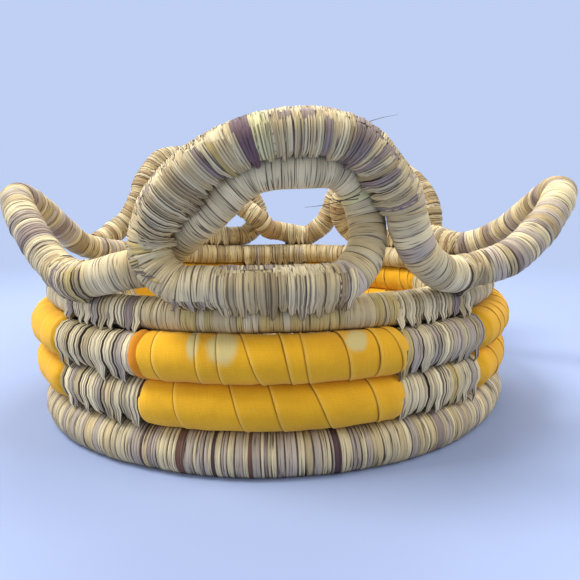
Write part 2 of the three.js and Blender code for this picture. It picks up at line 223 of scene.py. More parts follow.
@dataclass(frozen=True)
class CoilSizes:
    """The coil's sizes in millimetres and degrees, as the solids have them.

    The tuples go by level: the foot, the two patterned courses, the rim, the loops, and a coil on those.
    """

    coils: tuple[float, ...] = (9.3, 8.9, 8.3, 6.0, 6.9, 6.9)
    outs: tuple[float, ...] = (0.0, -0.7, 1.1, -2.3, 5.0, 5.0)
    foot_ring: float = 111.9
    course_gap: float = 0.8
    floor_gap: float = 1.05
    foot_flat: float = 1.86
    steepest_share: float = 1.94
    climb_azimuth: float = 253.0
    climb_half: float = 0.17
    panel_count: int = 5
    panel_start: float = -23.0
    panel_width: float = 49.0
    panel_steps: int = 3
    arch_rise: float = 31.5
    arch_sharpness: float = 1.6
    arch_points: int = 10
    curl: CurlShape = CurlShape()
    loop_lift: float = 0.5
    coil_end_drop: float = 6.7
    coil_end_out: float = 10.4
    floor_start: float = 0.02
    knot_room: float = 2.5


def around(azimuth: Array, ring: Array, height: Array) -> Array:
    """Points at azimuths counted from the front to the right, in degrees.

    Args:
        azimuth: degrees.
        ring: distance from the basket's axis.
        height: height above the table.

    Returns:
        An array with x, y and z last.
    """
    angle = np.radians(azimuth)
    return np.stack(np.broadcast_arrays(ring * np.sin(angle), -ring * np.cos(angle), height), axis=-1)


def unit(vectors: Array) -> Array:
    """The vectors at length 1."""
    return vectors / np.linalg.norm(vectors, axis=-1, keepdims=True)


def smoothstep(share: Array) -> Array:
    """An even start and stop from 0 to 1."""
    held = np.clip(share, 0, 1)
    return held * held * (3 - 2 * held)


@dataclass
class Stations:
    """Places along the coil, with the directions across it."""

    point: Array
    ahead: Array
    out: Array
    side: Array
    coil: Array

    def around_coil(self, angle: Array, reach: Array) -> Array:
        """Points at a reach from the centre line, by the angle from outwards to sideways."""
        across = np.cos(angle)[..., None] * self.out + np.sin(angle)[..., None] * self.side
        return self.point + reach[..., None] * across


class CentreLine:
    """A line of closely set points that a wrapped coil follows."""

    SEAM_STEP = 3.0
    SEAM_REACH = 3.4
    SEAM_APART = 40.0
    SEAM_NEAR = 28.0

    def __init__(self, points: Array, coil: Array) -> None:
        """Measures the line.

        Args:
            points: points along it in millimetres.
            coil: the coil's radius at each point.
        """
        self.points = points
        self.coil = coil
        self.run = np.concatenate([[0], np.cumsum(np.linalg.norm(np.diff(points, axis=0), axis=1))])
        self.ahead = unit(np.gradient(points, axis=0))
        self.end = self.run[-1]

    def sample(self, run: Array) -> Stations:
        """Stations at lengths along the line.

        Args:
            run: lengths, in any array shape.

        Returns:
            The stations, with that shape and x, y and z last.
        """
        def along(table: Array) -> Array:
            """The rows of a table at those lengths."""
            return np.stack([np.interp(run, self.run, table[:, k]) for k in range(3)], axis=-1)

        point, ahead = along(self.points), unit(along(self.ahead))
        radial = unit(point * np.array([1.0, 1.0, 0.0]))
        out = unit(radial - ahead * np.sum(radial * ahead, axis=-1, keepdims=True))
        return Stations(point, ahead, out, np.cross(ahead, out), np.interp(run, self.run, self.coil))

    def seams(self, run: Array, angle: Array) -> Array:
        """How close another pass of the coil lies to its surface, from 0 for apart to 1 for touching.

        Args:
            run: rising lengths along the line, one for each row.
            angle: angles round the coil, one for each column.

        Returns:
            A grid with those rows and columns.
        """
        lengths = np.arange(0, self.end, self.SEAM_STEP)
        line = self.sample(lengths)
        steps = np.arange(run[0], run[-1] + self.SEAM_STEP, self.SEAM_STEP)
        rows = []
        for step in steps:
            here = self.sample(np.full(angle.size, step))
            near = np.linalg.norm(line.point - here.point[0], axis=1) < self.SEAM_NEAR
            near &= np.abs(lengths - step) > self.SEAM_APART
            away = here.around_coil(angle, here.coil)[:, None] - line.point[near]
            gaps = np.linalg.norm(away, axis=-1) - line.coil[near]
            rows.append(gaps.min(axis=1, initial=self.SEAM_REACH))
        touch = np.clip(1 - np.array(rows) / self.SEAM_REACH, 0, 1)
        return np.stack([np.interp(run, steps, column) for column in touch.T], axis=-1)


class CoilPath(CentreLine):
    """The centre line of the whole coil, from the middle of the floor to the end of the last loop."""

    PER_TURN = 720
    PER_POINT = 24
    SPACING_ROUNDS = 4

    def __init__(self, sizes: CoilSizes, loops: Sequence[Loop]) -> None:
        """Lays out the floor, the wall and the loops.

        Args:
            sizes: the coil's sizes.
            loops: the carrying loops in the order that the coil makes them.
        """
        self.sizes = sizes
        self.coils = np.array(sizes.coils)
        self.rings = sizes.foot_ring + np.array(sizes.outs)
        self.heights = self._course_heights()
        self.floor_rings = self._floor_rings()
        first = 1 - len(self.floor_rings) + sizes.climb_half + sizes.floor_start
        last = self._last_wall_turns()
        count = int((last[-1] - first) * self.PER_TURN)
        self.wall_turns = np.linspace(first, last[-1], count)
        ring, height, coil = self.section(self.wall_turns)
        wall = around(sizes.climb_azimuth + 360 * self.wall_turns, ring, height)
        route, starts = self._route(loops, last)
        curve = self._curve(route)[1:]
        loop_coil = np.full(len(curve), self.coils[Level.LOOPS])
        super().__init__(np.vstack([wall, curve]), np.concatenate([coil, loop_coil]))
        self.wall_run = self.run[:len(wall)]
        self.route_run = self.run[len(wall) - 1::self.PER_POINT]
        self.starts = starts
        self.marks = {name: self.route_run[index - 1] for name, index in starts.items()}

    def _course_heights(self) -> Array:
        """Heights of the courses, each lying on the one below it.

        Returns:
            One height for each level.
        """
        heights = [self.coils[Level.FOOT] - self.sizes.foot_flat]
        for level in range(1, len(self.coils)):
            aside = self.rings[level] - self.rings[level - 1]
            heights.append(heights[-1] + self._seat_rise(self.coils[level - 1] + self.coils[level], aside))
        return np.array(heights)

    def _seat_rise(self, radii: Array, aside: Array) -> Array:
        """How far a coil lies above one that it rests on, from both radii and how far it stands aside."""
        return np.sqrt(np.maximum((radii + self.sizes.course_gap) ** 2 - aside ** 2, 0))

    def _floor_rings(self) -> Array:
        """Centre radii of the floor's turns, from the foot inwards.

        Returns:
            The radii.
        """
        rings = [self.sizes.foot_ring]
        level = 2 * self.coils[Level.FOOT] + self.sizes.floor_gap
        while True:
            spacing = level
            for _ in range(self.SPACING_ROUNDS):
                span = 4 * math.pi * self.sizes.climb_half * (rings[-1] - spacing / 2)
                spacing = level * math.hypot(1, self.sizes.steepest_share * spacing / span)
            if rings[-1] - spacing < self.sizes.knot_room * self.coils[Level.FOOT]:
                return np.array(rings)
            rings.append(rings[-1] - spacing)

    def _last_wall_turns(self) -> list[float]:
        """The last two places of the wall, in turns, that the loops' curve starts from.

        Returns:
            The two places.
        """
        sizes = self.sizes
        past = (sizes.climb_azimuth - sizes.panel_start - sizes.panel_width) % (360 / sizes.panel_count)
        end = sizes.climb_azimuth - past
        azimuths = (end - sizes.panel_width / sizes.panel_steps, end)
        return [Level.RIM + self.turns_at(azimuth, 0) % 1 for azimuth in azimuths]

    def turns_at(self, azimuth: float, course: float) -> float:
        """Turns of the coil at an azimuth on a course."""
        return course + (azimuth - self.sizes.climb_azimuth) / 360

    def section(self, turns: Array) -> tuple[Array, Array, Array]:
        """The coil after a number of turns: the floor below 0, then the wall, then the loops' seat.

        Args:
            turns: turns from the start of the foot course.

        Returns:
            The ring radius, the height and the coil's radius.
        """
        half = self.sizes.climb_half
        level = np.floor(np.asarray(turns) + half).astype(int)
        share = smoothstep((turns - level + half) / (2 * half)) * (math.pi / 2)
        last = len(self.floor_rings) - 1
        inner = self.floor_rings[np.clip(1 - level, 0, last)]
        outer = self.floor_rings[np.clip(-level, 0, last)]
        top = len(self.coils) - 1
        low, high = np.clip(level - 1, 0, top), np.clip(level, 0, top)
        tables = [table[low] + (table[high] - table[low]) * np.sin(share)
                  for table in (self.rings, self.heights, self.coils)]
        on_floor = level <= 0
        ring = np.where(on_floor, outer + (inner - outer) * np.cos(share), tables[0])
        height = np.where(on_floor, self.heights[Level.FOOT], tables[1])
        coil = np.where(on_floor, self.coils[Level.FOOT], tables[2])
        if np.any(level > 1):
            below_ring, below_height, below_coil = self.section(np.asarray(turns) - 1)
            seated = below_height + self._seat_rise(below_coil + coil, ring - below_ring)
            height = np.where(level > 1, seated, height)
        return ring, height, coil

    def _loop_point(self, azimuth: float, along: float, up: float, out: float) -> Array:
        """A point of a loop: along the rim from an azimuth, up from its seat and out from it.

        Args:
            azimuth: where the loop is measured from, in degrees.
            along: distance along the rim.
            up: height over the seat.
            out: distance outwards.

        Returns:
            The point.
        """
        there = azimuth + math.degrees(along / self.rings[Level.LOOPS])
        ring, height, _ = self.section(np.array(self.turns_at(there, Level.LOOPS)))
        return around(there, ring + out, height + self.sizes.loop_lift + up)

    def _arch(self, loop: Loop) -> list[Array]:
        """Route of a loop that only rises and leans out.

        Args:
            loop: the arch.

        Returns:
            Its points between its seats.
        """
        points = []
        for i in range(1, self.sizes.arch_points):
            share = i / self.sizes.arch_points
            rise = math.sin(math.pi * share) ** self.sizes.arch_sharpness
            azimuth = loop.start + (loop.end - loop.start) * share
            out = loop.lean * self.sizes.arch_rise * rise ** loop.bow
            points.append(self._loop_point(azimuth, 0, self.sizes.arch_rise * rise, out))
        return points

    def _curl(self, loop: Loop, drop: float, aside: float) -> list[Array]:
        """Route of a loop that goes once round its ring, outside its own incoming leg.

        Args:
            loop: the curl.
            drop: how far its end lies below the seat.
            aside: how far its end lies out from the seat.

        Returns:
            Its points between its seats.
        """
        pitch = 2 * self.coils[Level.LOOPS] + self.sizes.course_gap
        shape = self.sizes.curl
        length, height = loop.half_length, loop.half_height
        straight = length - height
        length_in = math.radians(loop.centre - loop.start) * self.rings[Level.LOOPS]
        length_out = math.radians(loop.end - loop.centre) * self.rings[Level.LOOPS]
        points = []

        def at(along: float, up: float, out: float) -> None:
            """Adds a point by its place along the rim, its height and its distance out."""
            points.append(self._loop_point(loop.centre, along, up, out * pitch))

        def bend(middle: float, degrees: float, radius: float, out: float) -> None:
            """Adds a point on one of the ring's round ends."""
            angle = math.radians(degrees)
            at(middle + radius * math.cos(angle), height + radius * math.sin(angle), out)

        at(-(length_in + length) / 2, shape.first_up * height, shape.first_out)
        for along, up, out in shape.incoming:
            at(along * length, up * height, out)
        for degrees, out in shape.far_end:
            bend(straight, degrees, height, out)
        at(shape.bottom_along * straight, 0, 0)
        for degrees, growth, out in shape.near_end:
            bend(-straight, degrees, height + growth * self.coils[Level.LOOPS], out)
        for degrees in range(*shape.outer_degrees):
            up = (height + shape.outer_rise * pitch) * math.sin(math.radians(degrees))
            at(length * math.cos(math.radians(degrees)) + shape.shear * up, height + up, shape.outer_out)
        foot = length + shape.leg_aside * pitch
        for share, up, out, end in shape.leaving:
            rise = up * shape.leg_rise * height - end * drop
            at(foot + (length_out - foot) * share, rise, out + end * aside / pitch)
        return points

    def _route(self, loops: Sequence[Loop], last: Sequence[float]) -> tuple[Array, dict[str, int]]:
        """Points that the loops' curve passes through, and the index of the one that each loop starts on.

        Args:
            loops: the loops in order.
            last: the wall's last two places, in turns.

        Returns:
            The points, and the indices by the loops' names.
        """
        ring, height, _ = self.section(np.array(last))
        route = list(around(self.sizes.climb_azimuth + 360 * np.array(last), ring, height))
        starts = {}
        for order, loop in enumerate(loops):
            drop, aside = 0.0, 0.0
            if order + 1 == len(loops):
                drop, aside = self.sizes.coil_end_drop, self.sizes.coil_end_out
            seat = self._loop_point(loop.start, 0, 0, 0)
            if order > 0 and np.linalg.norm(route[-1] - seat) > self.coils[Level.LOOPS]:
                route.append(seat)
            starts[loop.name] = len(route) - 1
            route += self._arch(loop) if loop.centre is None else self._curl(loop, drop, aside)
            route.append(self._loop_point(loop.end, 0, -drop, aside))
        return np.array(route), starts

    def _curve(self, route: Array) -> Array:
        """A smooth curve through all points of a route from its second one on.

        Args:
            route: the points to pass through.

        Returns:
            Closely set points.
        """
        padded = np.vstack([route, 2 * route[-1:] - route[-2:-1]])
        t = (np.arange(self.PER_POINT) / self.PER_POINT)[:, None]
        pieces = []
        for before, start, end, after in zip(padded, padded[1:], padded[2:], padded[3:]):
            leave, arrive = (end - before) / 2, (after - start) / 2
            pieces.append(
                (2 * t ** 3 - 3 * t ** 2 + 1) * start + (t ** 3 - 2 * t ** 2 + t) * leave
                + (3 * t ** 2 - 2 * t ** 3) * end + (t ** 3 - t ** 2) * arrive
            )
        return np.vstack([*pieces, route[-1:]])

    def curl_run(self, name: str, number: float) -> float:
        """Length along the coil at a curl's point, or between two of them."""
        return float(np.interp(self.starts[name] + number, np.arange(len(self.route_run)), self.route_run))

    def run_at(self, azimuth: float, course: float) -> float:
        """Length along the coil at an azimuth on a course of the floor or wall."""
        return float(np.interp(self.turns_at(azimuth, course), self.wall_turns, self.wall_run))

    def seat_below(self, point: Array, course: float) -> tuple[Array, float]:
        """Centre and radius of a course at the azimuth of a point.

        Args:
            point: the point.
            course: the course.

        Returns:
            The centre and the radius.
        """
        azimuth = math.degrees(math.atan2(point[0], -point[1])) % 360
        start = self.sizes.climb_azimuth % 360
        turns = course + ((azimuth - start) % 360) / 360
        ring, height, coil = self.section(np.array(turns))
        return around(azimuth, ring, height), float(coil)


@dataclass(frozen=True)
class KnotSizes:
    """The thin first turns at the middle of the floor, in millimetres and turns."""

    turns: float = 3.0
    first_ring: float = 1.6
    first_coil: float = 3.6
    thin_coil: float = 5.0
    growing: float = 0.36
    pressed: float = 0.5
    height: float = 8.6
    steps: int = 600

    def line(self, path: CoilPath) -> CentreLine:
        """The knot's centre line, which lies inside the floor's first turn and ends where that one starts.

        Args:
            path: the whole coil.

        Returns:
            The line.
        """
        share = np.linspace(0, 1, self.steps)
        turns = path.wall_turns[0] - self.turns * (1 - share)
        grown = smoothstep(1 - self.turns * (1 - share) / self.growing)
        thin = self.first_coil + (self.thin_coil - self.first_coil) * share
        coil = thin + (path.coils[Level.FOOT] - thin) * grown
        outside, _, _ = path.section(np.maximum(turns + 1, path.wall_turns[0]))
        room = outside - path.coils[Level.FOOT] - coil + self.pressed
        opened = np.minimum(share * self.turns / (self.turns - 1), 1)
        ring = self.first_ring + (room - self.first_ring) * opened
        height = self.height + (path.heights[Level.FOOT] - self.height) * grown
        return CentreLine(around(path.sizes.climb_azimuth + 360 * turns, ring, height), coil)


@dataclass
class Patch:
    """A grid of points in millimetres, with what a finish reads from it."""

    points: Array
    uv: Array
    colour: Array
    # groove: painted shade from 0 to 1 on leaf; on cloth, above 0 a painted highlight on the fold and below 0
    # a painted shadow beside it.
    groove: Array

    def faced(self, direction: Array) -> "Patch":
        """The grid with its middle face towards a direction.

        Args:
            direction: where it has to face.

        Returns:
            This grid or its reverse.
        """
        row, column = self.points.shape[0] // 2, self.points.shape[1] // 2
        across = self.points[row, column] - self.points[row, column - 1]
        along = self.points[row, column] - self.points[row - 1, column]
        if np.dot(np.cross(across, along), direction) > 0:
            return self
        return Patch(self.points[:, ::-1], self.uv[:, ::-1], self.colour[:, ::-1], self.groove[:, ::-1])


def mesh_object(name: str, patches: Sequence[Patch], closed: bool) -> Piece:
    """One object from grids, with the map and attributes that the finishes read.

    Args:
        name: the piece's name.
        patches: the grids.
        closed: whether the grids are tubes, whose seams are welded and ends filled.

    Returns:
        The object, linked to the scene.
    """
    shape = bmesh.new()
    for patch in patches:
        rows, columns = patch.points.shape[:2]
        bmesh.ops.create_grid(shape, x_segments=columns - 1, y_segments=rows - 1, size=1)
    mesh = bpy.data.meshes.new(name)
    shape.to_mesh(mesh)
    points = np.concatenate([patch.points.reshape(-1, 3) for patch in patches])
    mesh.vertices.foreach_set("co", (points * MM).astype(np.float32).ravel())
    corners = np.empty(len(mesh.loops), dtype=np.int32)
    mesh.loops.foreach_get("vertex_index", corners)
    uv = np.concatenate([patch.uv.reshape(-1, 2) for patch in patches])
    mesh.uv_layers.new(name="wrap").data.foreach_set("uv", uv[corners].astype(np.float32).ravel())
    colour = np.concatenate([patch.colour.reshape(-1, 3) for patch in patches])
    rgba = np.column_stack([colour, np.ones(len(colour))])
    tint = mesh.attributes.new("strip_colour", "FLOAT_COLOR", "FACE")
    tint.data.foreach_set("color", rgba.astype(np.float32).ravel())
    groove = np.concatenate([patch.groove.ravel() for patch in patches])
    mesh.attributes.new("groove", "FLOAT", "POINT").data.foreach_set("value", groove.astype(np.float32))
    if closed:
        shape.clear()
        shape.from_mesh(mesh)
        bmesh.ops.remove_doubles(shape, verts=shape.verts, dist=WELD * MM)
        rims = [edge for edge in shape.edges if edge.is_boundary]
        bmesh.ops.holes_fill(shape, edges=rims, sides=0)
        bmesh.ops.recalc_face_normals(shape, faces=shape.faces)
        shape.to_mesh(mesh)
    shape.free()
    mesh.polygons.foreach_set("use_smooth", np.ones(len(mesh.polygons), dtype=bool))
    mesh.update()
    made = bpy.data.objects.new(name, mesh)
    bpy.context.scene.collection.objects.link(made)
    return made


def settle(piece: Piece, material: Material, slot: str, *nodes: str) -> Piece:
    """Gives a piece its material and its body, and hides the solids that it stands for.

    Args:
        piece: the piece.
        material: its material.
        slot: not used.
        nodes: solids that it stands for.

    Returns:
        The piece.
    """
    piece.data.materials.append(material)
    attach(piece, BODY)
    if nodes:
        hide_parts(*nodes)
    LOG.info("%s: %d faces", piece.name, len(piece.data.polygons))
    return piece


@dataclass(frozen=True)
class Winding:
    """How leaf strip lies on the coil, in millimetres.

    Each turn of the strip splits into a few ribs. Slits open between turns, fine grooves between ribs, and
    both get painted shade.
    """

    ribs: tuple[float, float]
    turn: tuple[int, int]
    slit: float = 0.4
    gap: float = 0.34
    groove: float = 0.12
    uneven: float = 0.1
    tilt: float = 0.1
    painted_groove_shade: float = 0.5


FINE = Winding((0.7, 1.5), (2, 5))
CLOSE = Winding((0.8, 1.6), (1, 3), slit=0.55, gap=0.36, groove=0.18, uneven=0.12, tilt=0.16, painted_groove_shade=0.8)
COARSE = Winding((1.0, 2.0), (1, 3), gap=0.4, groove=0.18, uneven=0.15, tilt=0.2, painted_groove_shade=0.65)
SMOOTH = Winding((1.1, 2.6), (1, 3), slit=0.2, gap=0.2, groove=0.06, uneven=0.05, tilt=0.06, painted_groove_shade=0.4)
BANDED = Winding((2.8, 6.0), (1, 1), slit=0.25, gap=0.25, groove=0.06, uneven=0.08, tilt=0.14)
FLAT = Winding((1.7, 2.8), (1, 3))


@dataclass(frozen=True)
class Zone:
    """A stretch of leaf wrapping that looks alike, up to a place along the coil in millimetres.

    The last zone of a wrap goes on to its end, whatever place it names.
    """

    until: float
    winding: Winding
    mix: StripMix


@dataclass(frozen=True)
class Accent:
    """A run of ribs of one tone, by its middle along the coil in millimetres."""

    at: float
    width: float
    tone: LeafTone


@dataclass(frozen=True)
class Rib:
    """One rib of a turn of leaf strip."""

    start: float
    width: float
    winding: Winding
    colour: Array
    first: bool


@dataclass
class LeafWrap:
    """Leaf strips wound side by side round a stretch of the coil."""

    name: str
    node: str
    start: float
    end: float
    zones: tuple[Zone, ...]
    seed: int
    columns: int = 28
    accents: tuple[Accent, ...] = ()
    shoulder: float = 0.24
    widest_shoulder: float = 0.25
    widest_gap: float = 0.3
    longest_face: float = 2.6
    least_rib: float = 0.3
    end_taper: float = 0.0
    end_share: float = 0.45
    end_depth: float = 0.3
    proud: float = 0.3
    painted_seam_shade: float = 0.95
    sway: float = 0.5
    jitters: tuple[float, float] = (0.07, 0.04)
    puff: float = 0.06
    swells: tuple[float, float] = (0.16, 0.1)

    RIB_SHADE = (0.82, 1.12)
    SLIT = (0.4, 1.3)
    SLIT_PAINTED_SHADE = (0.6, 1.0)
    GROOVE = (0.5, 1.5)
    GROOVE_PAINTED_SHADE = (0.3, 1.4)
    GAP = (0.4, 1.6)

    def _ribs(self, rng: Rng) -> Iterator[Rib]:
        """The ribs in the order that they lie along the coil.

        Args:
            rng: a seeded source.

        Returns:
            The ribs, one after the other.
        """
        place = self.start
        while place < self.end - self.least_rib:
            zone = next((z for z in self.zones if place < z.until), self.zones[-1])
            tone = linear(zone.mix.draw(rng).value) * rng.uniform(*TURN_SHADE)
            winding = zone.winding
            for order in range(rng.integers(winding.turn[0], winding.turn[1] + 1)):
                width = min(rng.uniform(*winding.ribs), self.end - place)
                marked = next((a for a in self.accents if abs(place + width / 2 - a.at) < a.width / 2), None)
                base = linear(marked.tone.value) if marked else tone
                yield Rib(place, width, winding, base * rng.uniform(*self.RIB_SHADE), order == 0)
                place += width
                if place >= self.end - self.least_rib:
                    return

    def _rows(self, rng: Rng) -> tuple[Array, ...]:
        """Rows across the ribs: place, height over the coil, painted shade, phase, and colour of what
        follows.

        Args:
            rng: a seeded source.

        Returns:
            Five arrays with an entry for each row.
        """
        rows = []
        for rib in self._ribs(rng):
            shoulder = min(self.shoulder, self.widest_shoulder * rib.width)
            phase = rng.uniform(0, 2 * math.pi)
            winding = rib.winding
            lift, tilt = winding.uneven * rng.normal(0, 1), winding.tilt * rng.uniform(0, 1)
            # Slits between turns and grooves between ribs get painted shade, darkest in the slits.
            if rib.first:
                depth = winding.slit * rng.uniform(*self.SLIT)
                dark = rng.uniform(*self.SLIT_PAINTED_SHADE)
                gap = min(winding.gap * rng.uniform(*self.GAP), self.widest_gap * rib.width)
            else:
                depth = winding.groove * rng.uniform(*self.GROOVE)
                dark = winding.painted_groove_shade * rng.uniform(*self.GROOVE_PAINTED_SHADE)
                gap = 0.0
            for offset in sorted({0.0, gap}):
                rows.append((rib.start + offset, -depth, min(dark, 1.0), phase, rib.colour))
            inner = max(1, math.ceil((rib.width - gap - 2 * shoulder) / self.longest_face))
            for offset in np.linspace(gap + shoulder, rib.width - shoulder, inner + 1):
                across = 2 * offset / rib.width - 1
                rows.append((rib.start + offset, lift + tilt * across, 0.0, phase, rib.colour))
        # The last row, where the wrap tucks in, gets full painted shade.
        rows.append((self.end, -self.end_depth, 1.0, 0.0, rows[-1][4]))
        return tuple(np.array(part) for part in zip(*rows))

    def patch(self, path: CentreLine) -> Patch:
        """The wrapped surface as a grid, rows across the coil.

        Args:
            path: the line that the wrap follows.

        Returns:
            The grid.
        """
        rng = np.random.default_rng(self.seed)
        place, height, dark, phase, colour = self._rows(rng)
        angle = np.linspace(-math.pi, math.pi, self.columns + 1)[None, :]
        turned = phase[:, None]
        sway = self.sway * np.sin(0.9 * angle + 0.031 * place[:, None]) * np.sin(0.017 * place[:, None])
        wide_jitter, fine_jitter = self.jitters
        jitter = wide_jitter * np.sin(angle + turned) + fine_jitter * np.sin(3 * angle + 2 * turned)
        run = np.clip(place[:, None] + sway + jitter, self.start, self.end)
        run[0], run[-1] = self.start, self.end
        stations = path.sample(run)
        opening = 0.55 + 0.45 * np.sin(angle + 1.7 * turned) * np.cos(2 * angle + 0.6 * turned)
        between = (dark > 0)[:, None]
        rise = np.where(between, height[:, None] * opening, height[:, None])
        rise = rise + np.where(between, 0, self.puff * np.sin(2 * angle + turned))
        groove = dark[:, None] * np.clip(0.25 + 0.95 * opening, 0, 1)
        # Painted shade where another pass of the coil touches this one, standing in for the shade in the
        # crevice.
        groove = np.maximum(groove, self.painted_seam_shade * path.seams(place, angle[0]))
        slow, quick = self.swells
        swell = self.proud + slow * np.sin(0.09 * run) + quick * np.sin(0.23 * run + 1.0)
        reach = stations.coil + rise + swell
        if self.end_taper:
            left = np.clip((self.end - run) / self.end_taper, 0, 1)
            reach = reach * (self.end_share + (1 - self.end_share) * np.sqrt(left))
        wide = np.broadcast_to(angle, run.shape)
        points = stations.around_coil(wide, reach)
        points[..., 2] = np.maximum(points[..., 2], 0)
        points[:, -1] = points[:, 0]
        uv = np.stack([run, wide * stations.coil], axis=-1) * MM
        faces = np.broadcast_to(colour[:-1, None], (len(place) - 1, self.columns, 3))
        return Patch(points, uv, faces, groove)

    def build(self, path: CentreLine, finish: Material) -> Piece:
        """Makes the wrap and puts it in place of its solid."""
        piece = mesh_object(self.name, [self.patch(path)], closed=True)
        return settle(piece, finish, "leaf", self.node)


@dataclass(frozen=True)
class Crossing:
    """A place where a stitch goes from one coil over onto another, with the side that it shows on."""

    upper: Array
    upper_coil: float
    lower: Array
    lower_coil: float
    ahead: Array
    face: Array
    run: float


@dataclass
class StitchRow:
    """Split leaf stitches that run over one coil and end as claws in the next one."""

    name: str
    seed: int
    mix: StripMix
    width: float = 4.6
    ribs: int = 3
    start_angle: float = -84.0
    leave_angle: float = 34.0
    tip_angle: float = 57.0
    height: float = 0.75
    shingle: float = 0.2
    fray: float = 0.5
    crest: float = 0.42
    edge: float = 0.8
    edge_painted_shade: float = 0.95
    rib_painted_shade: float = 0.65
    rib_height: float = 0.12
    tip_spread: float = 8.0
    steepest_tip: float = 78.0
    accents: tuple[Accent, ...] = ()

    LIFTS = np.array([0.2, 0.9, 1.0, 1.0, 1.0, 1.1, 1.0, 0.6])
    WIDTHS = np.array([0.9, 1.0, 1.0, 1.0, 1.0, 0.92, 0.62, 0.12])
    SKEWS = np.array([0, 0, 0, 0, 0.1, 0.3, 0.8, 1.5])
    ON_UPPER = 6
    BRIDGE = (0.42, 0.58)
    LIFT_SPREAD = (0.9, 1.25)
    WIDTH_SPREAD = (0.78, 1.2)
    RIB_SPREAD = (0.4, 1.4)
    RIB_SHADE = (0.8, 1.12)
    UV_SPREAD = 400

    def patch(self, crossing: Crossing, rng: Rng) -> Patch:
        """One stitch as a grid, rows from its start to its tip.

        Args:
            crossing: where it goes over.
            rng: a seeded source.

        Returns:
            The grid.
        """
        across = crossing.lower - crossing.upper
        towards = across / np.linalg.norm(across)
        face = unit(crossing.face - towards * np.dot(crossing.face, towards))
        along = unit(crossing.ahead - face * np.dot(crossing.ahead, face))
        lifts = self.LIFTS * self.height * rng.uniform(*self.LIFT_SPREAD)
        turns = np.radians(np.linspace(self.start_angle, self.leave_angle, self.ON_UPPER))
        reach = (crossing.upper_coil + lifts[:self.ON_UPPER])[:, None]
        line = crossing.upper + reach * (np.cos(turns)[:, None] * face + np.sin(turns)[:, None] * towards)
        tip = math.radians(min(self.tip_angle + rng.normal(0, self.tip_spread), self.steepest_tip))
        outwards = math.cos(tip) * face - math.sin(tip) * towards
        end = crossing.lower + (crossing.lower_coil + lifts[-1]) * outwards
        bridge = self.BRIDGE[0] * line[-1] + self.BRIDGE[1] * end + lifts[-2] * face
        line = np.vstack([line, bridge, end])
        widths = self.WIDTHS * self.width * rng.uniform(*self.WIDTH_SPREAD)
        skew = rng.normal(0, self.fray) * self.SKEWS
        count = 2 * self.ribs + 1
        inner = np.linspace(-self.crest, self.crest, count - 2)
        column = np.concatenate([[-0.5, -0.5], inner, [0.5, 0.5]])
        uneven = rng.uniform(*self.RIB_SPREAD, count)
        ribbed = np.where(np.arange(count) % 2, self.rib_height, -self.rib_height) * uneven
        ridge = np.concatenate([[-self.edge], ribbed, [-self.edge]]) + self.shingle * column
        middle = (crossing.upper + crossing.lower) / 2
        normal = unit(line - np.array([crossing.upper] * self.ON_UPPER + [middle, crossing.lower]))
        offset = column[None, :] * widths[:, None] + skew[:, None]
        slim = (widths / widths.max())[:, None]
        raised = (ridge[None, :] * slim)[..., None] * normal[:, None]
        points = line[:, None] + offset[..., None] * along + raised
        points[..., 2] = np.maximum(points[..., 2], 0)
        length = np.concatenate([[0], np.cumsum(np.linalg.norm(np.diff(line, axis=0), axis=1))])
        aside = offset + rng.uniform(0, self.UV_SPREAD)
        uv = np.stack(np.broadcast_arrays(aside, length[:, None]), axis=-1) * MM
        marked = next((a for a in self.accents if abs(crossing.run - a.at) < a.width / 2), None)
        tone = marked.tone if marked else self.mix.draw(rng)
        base = linear(tone.value) * rng.uniform(*TURN_SHADE)
        tints = [base * rng.uniform(*self.RIB_SHADE) for _ in range(self.ribs)]
        order = np.clip((np.arange(count + 1) - 1) // 2, 0, self.ribs - 1)
        colour = np.broadcast_to(np.array(tints)[order], (len(line) - 1, count + 1, 3))
        # Painted shade along each stitch's sunken edges and in the valleys between its ribs.
        dark = np.concatenate([[1.0], np.where(np.arange(count) % 2, 0, self.rib_painted_shade * uneven), [1.0]])
        dark[[1, -2]] = self.edge_painted_shade
        groove = dark[None, :] * np.ones((len(line), 1))
        return Patch(points, uv, colour, groove).faced(face)

    def build(self, crossings: Sequence[Crossing], finish: Material, *nodes: str) -> Piece:
        """Makes the row of stitches.

        Args:
            crossings: where the stitches are.
            finish: their material.
            nodes: solids that the row stands for.

        Returns:
            The finished piece.
        """
        rng = np.random.default_rng(self.seed)
        patches = [self.patch(crossing, rng) for crossing in crossings]
        return settle(mesh_object(self.name, patches, closed=False), finish, "stitch", *nodes)


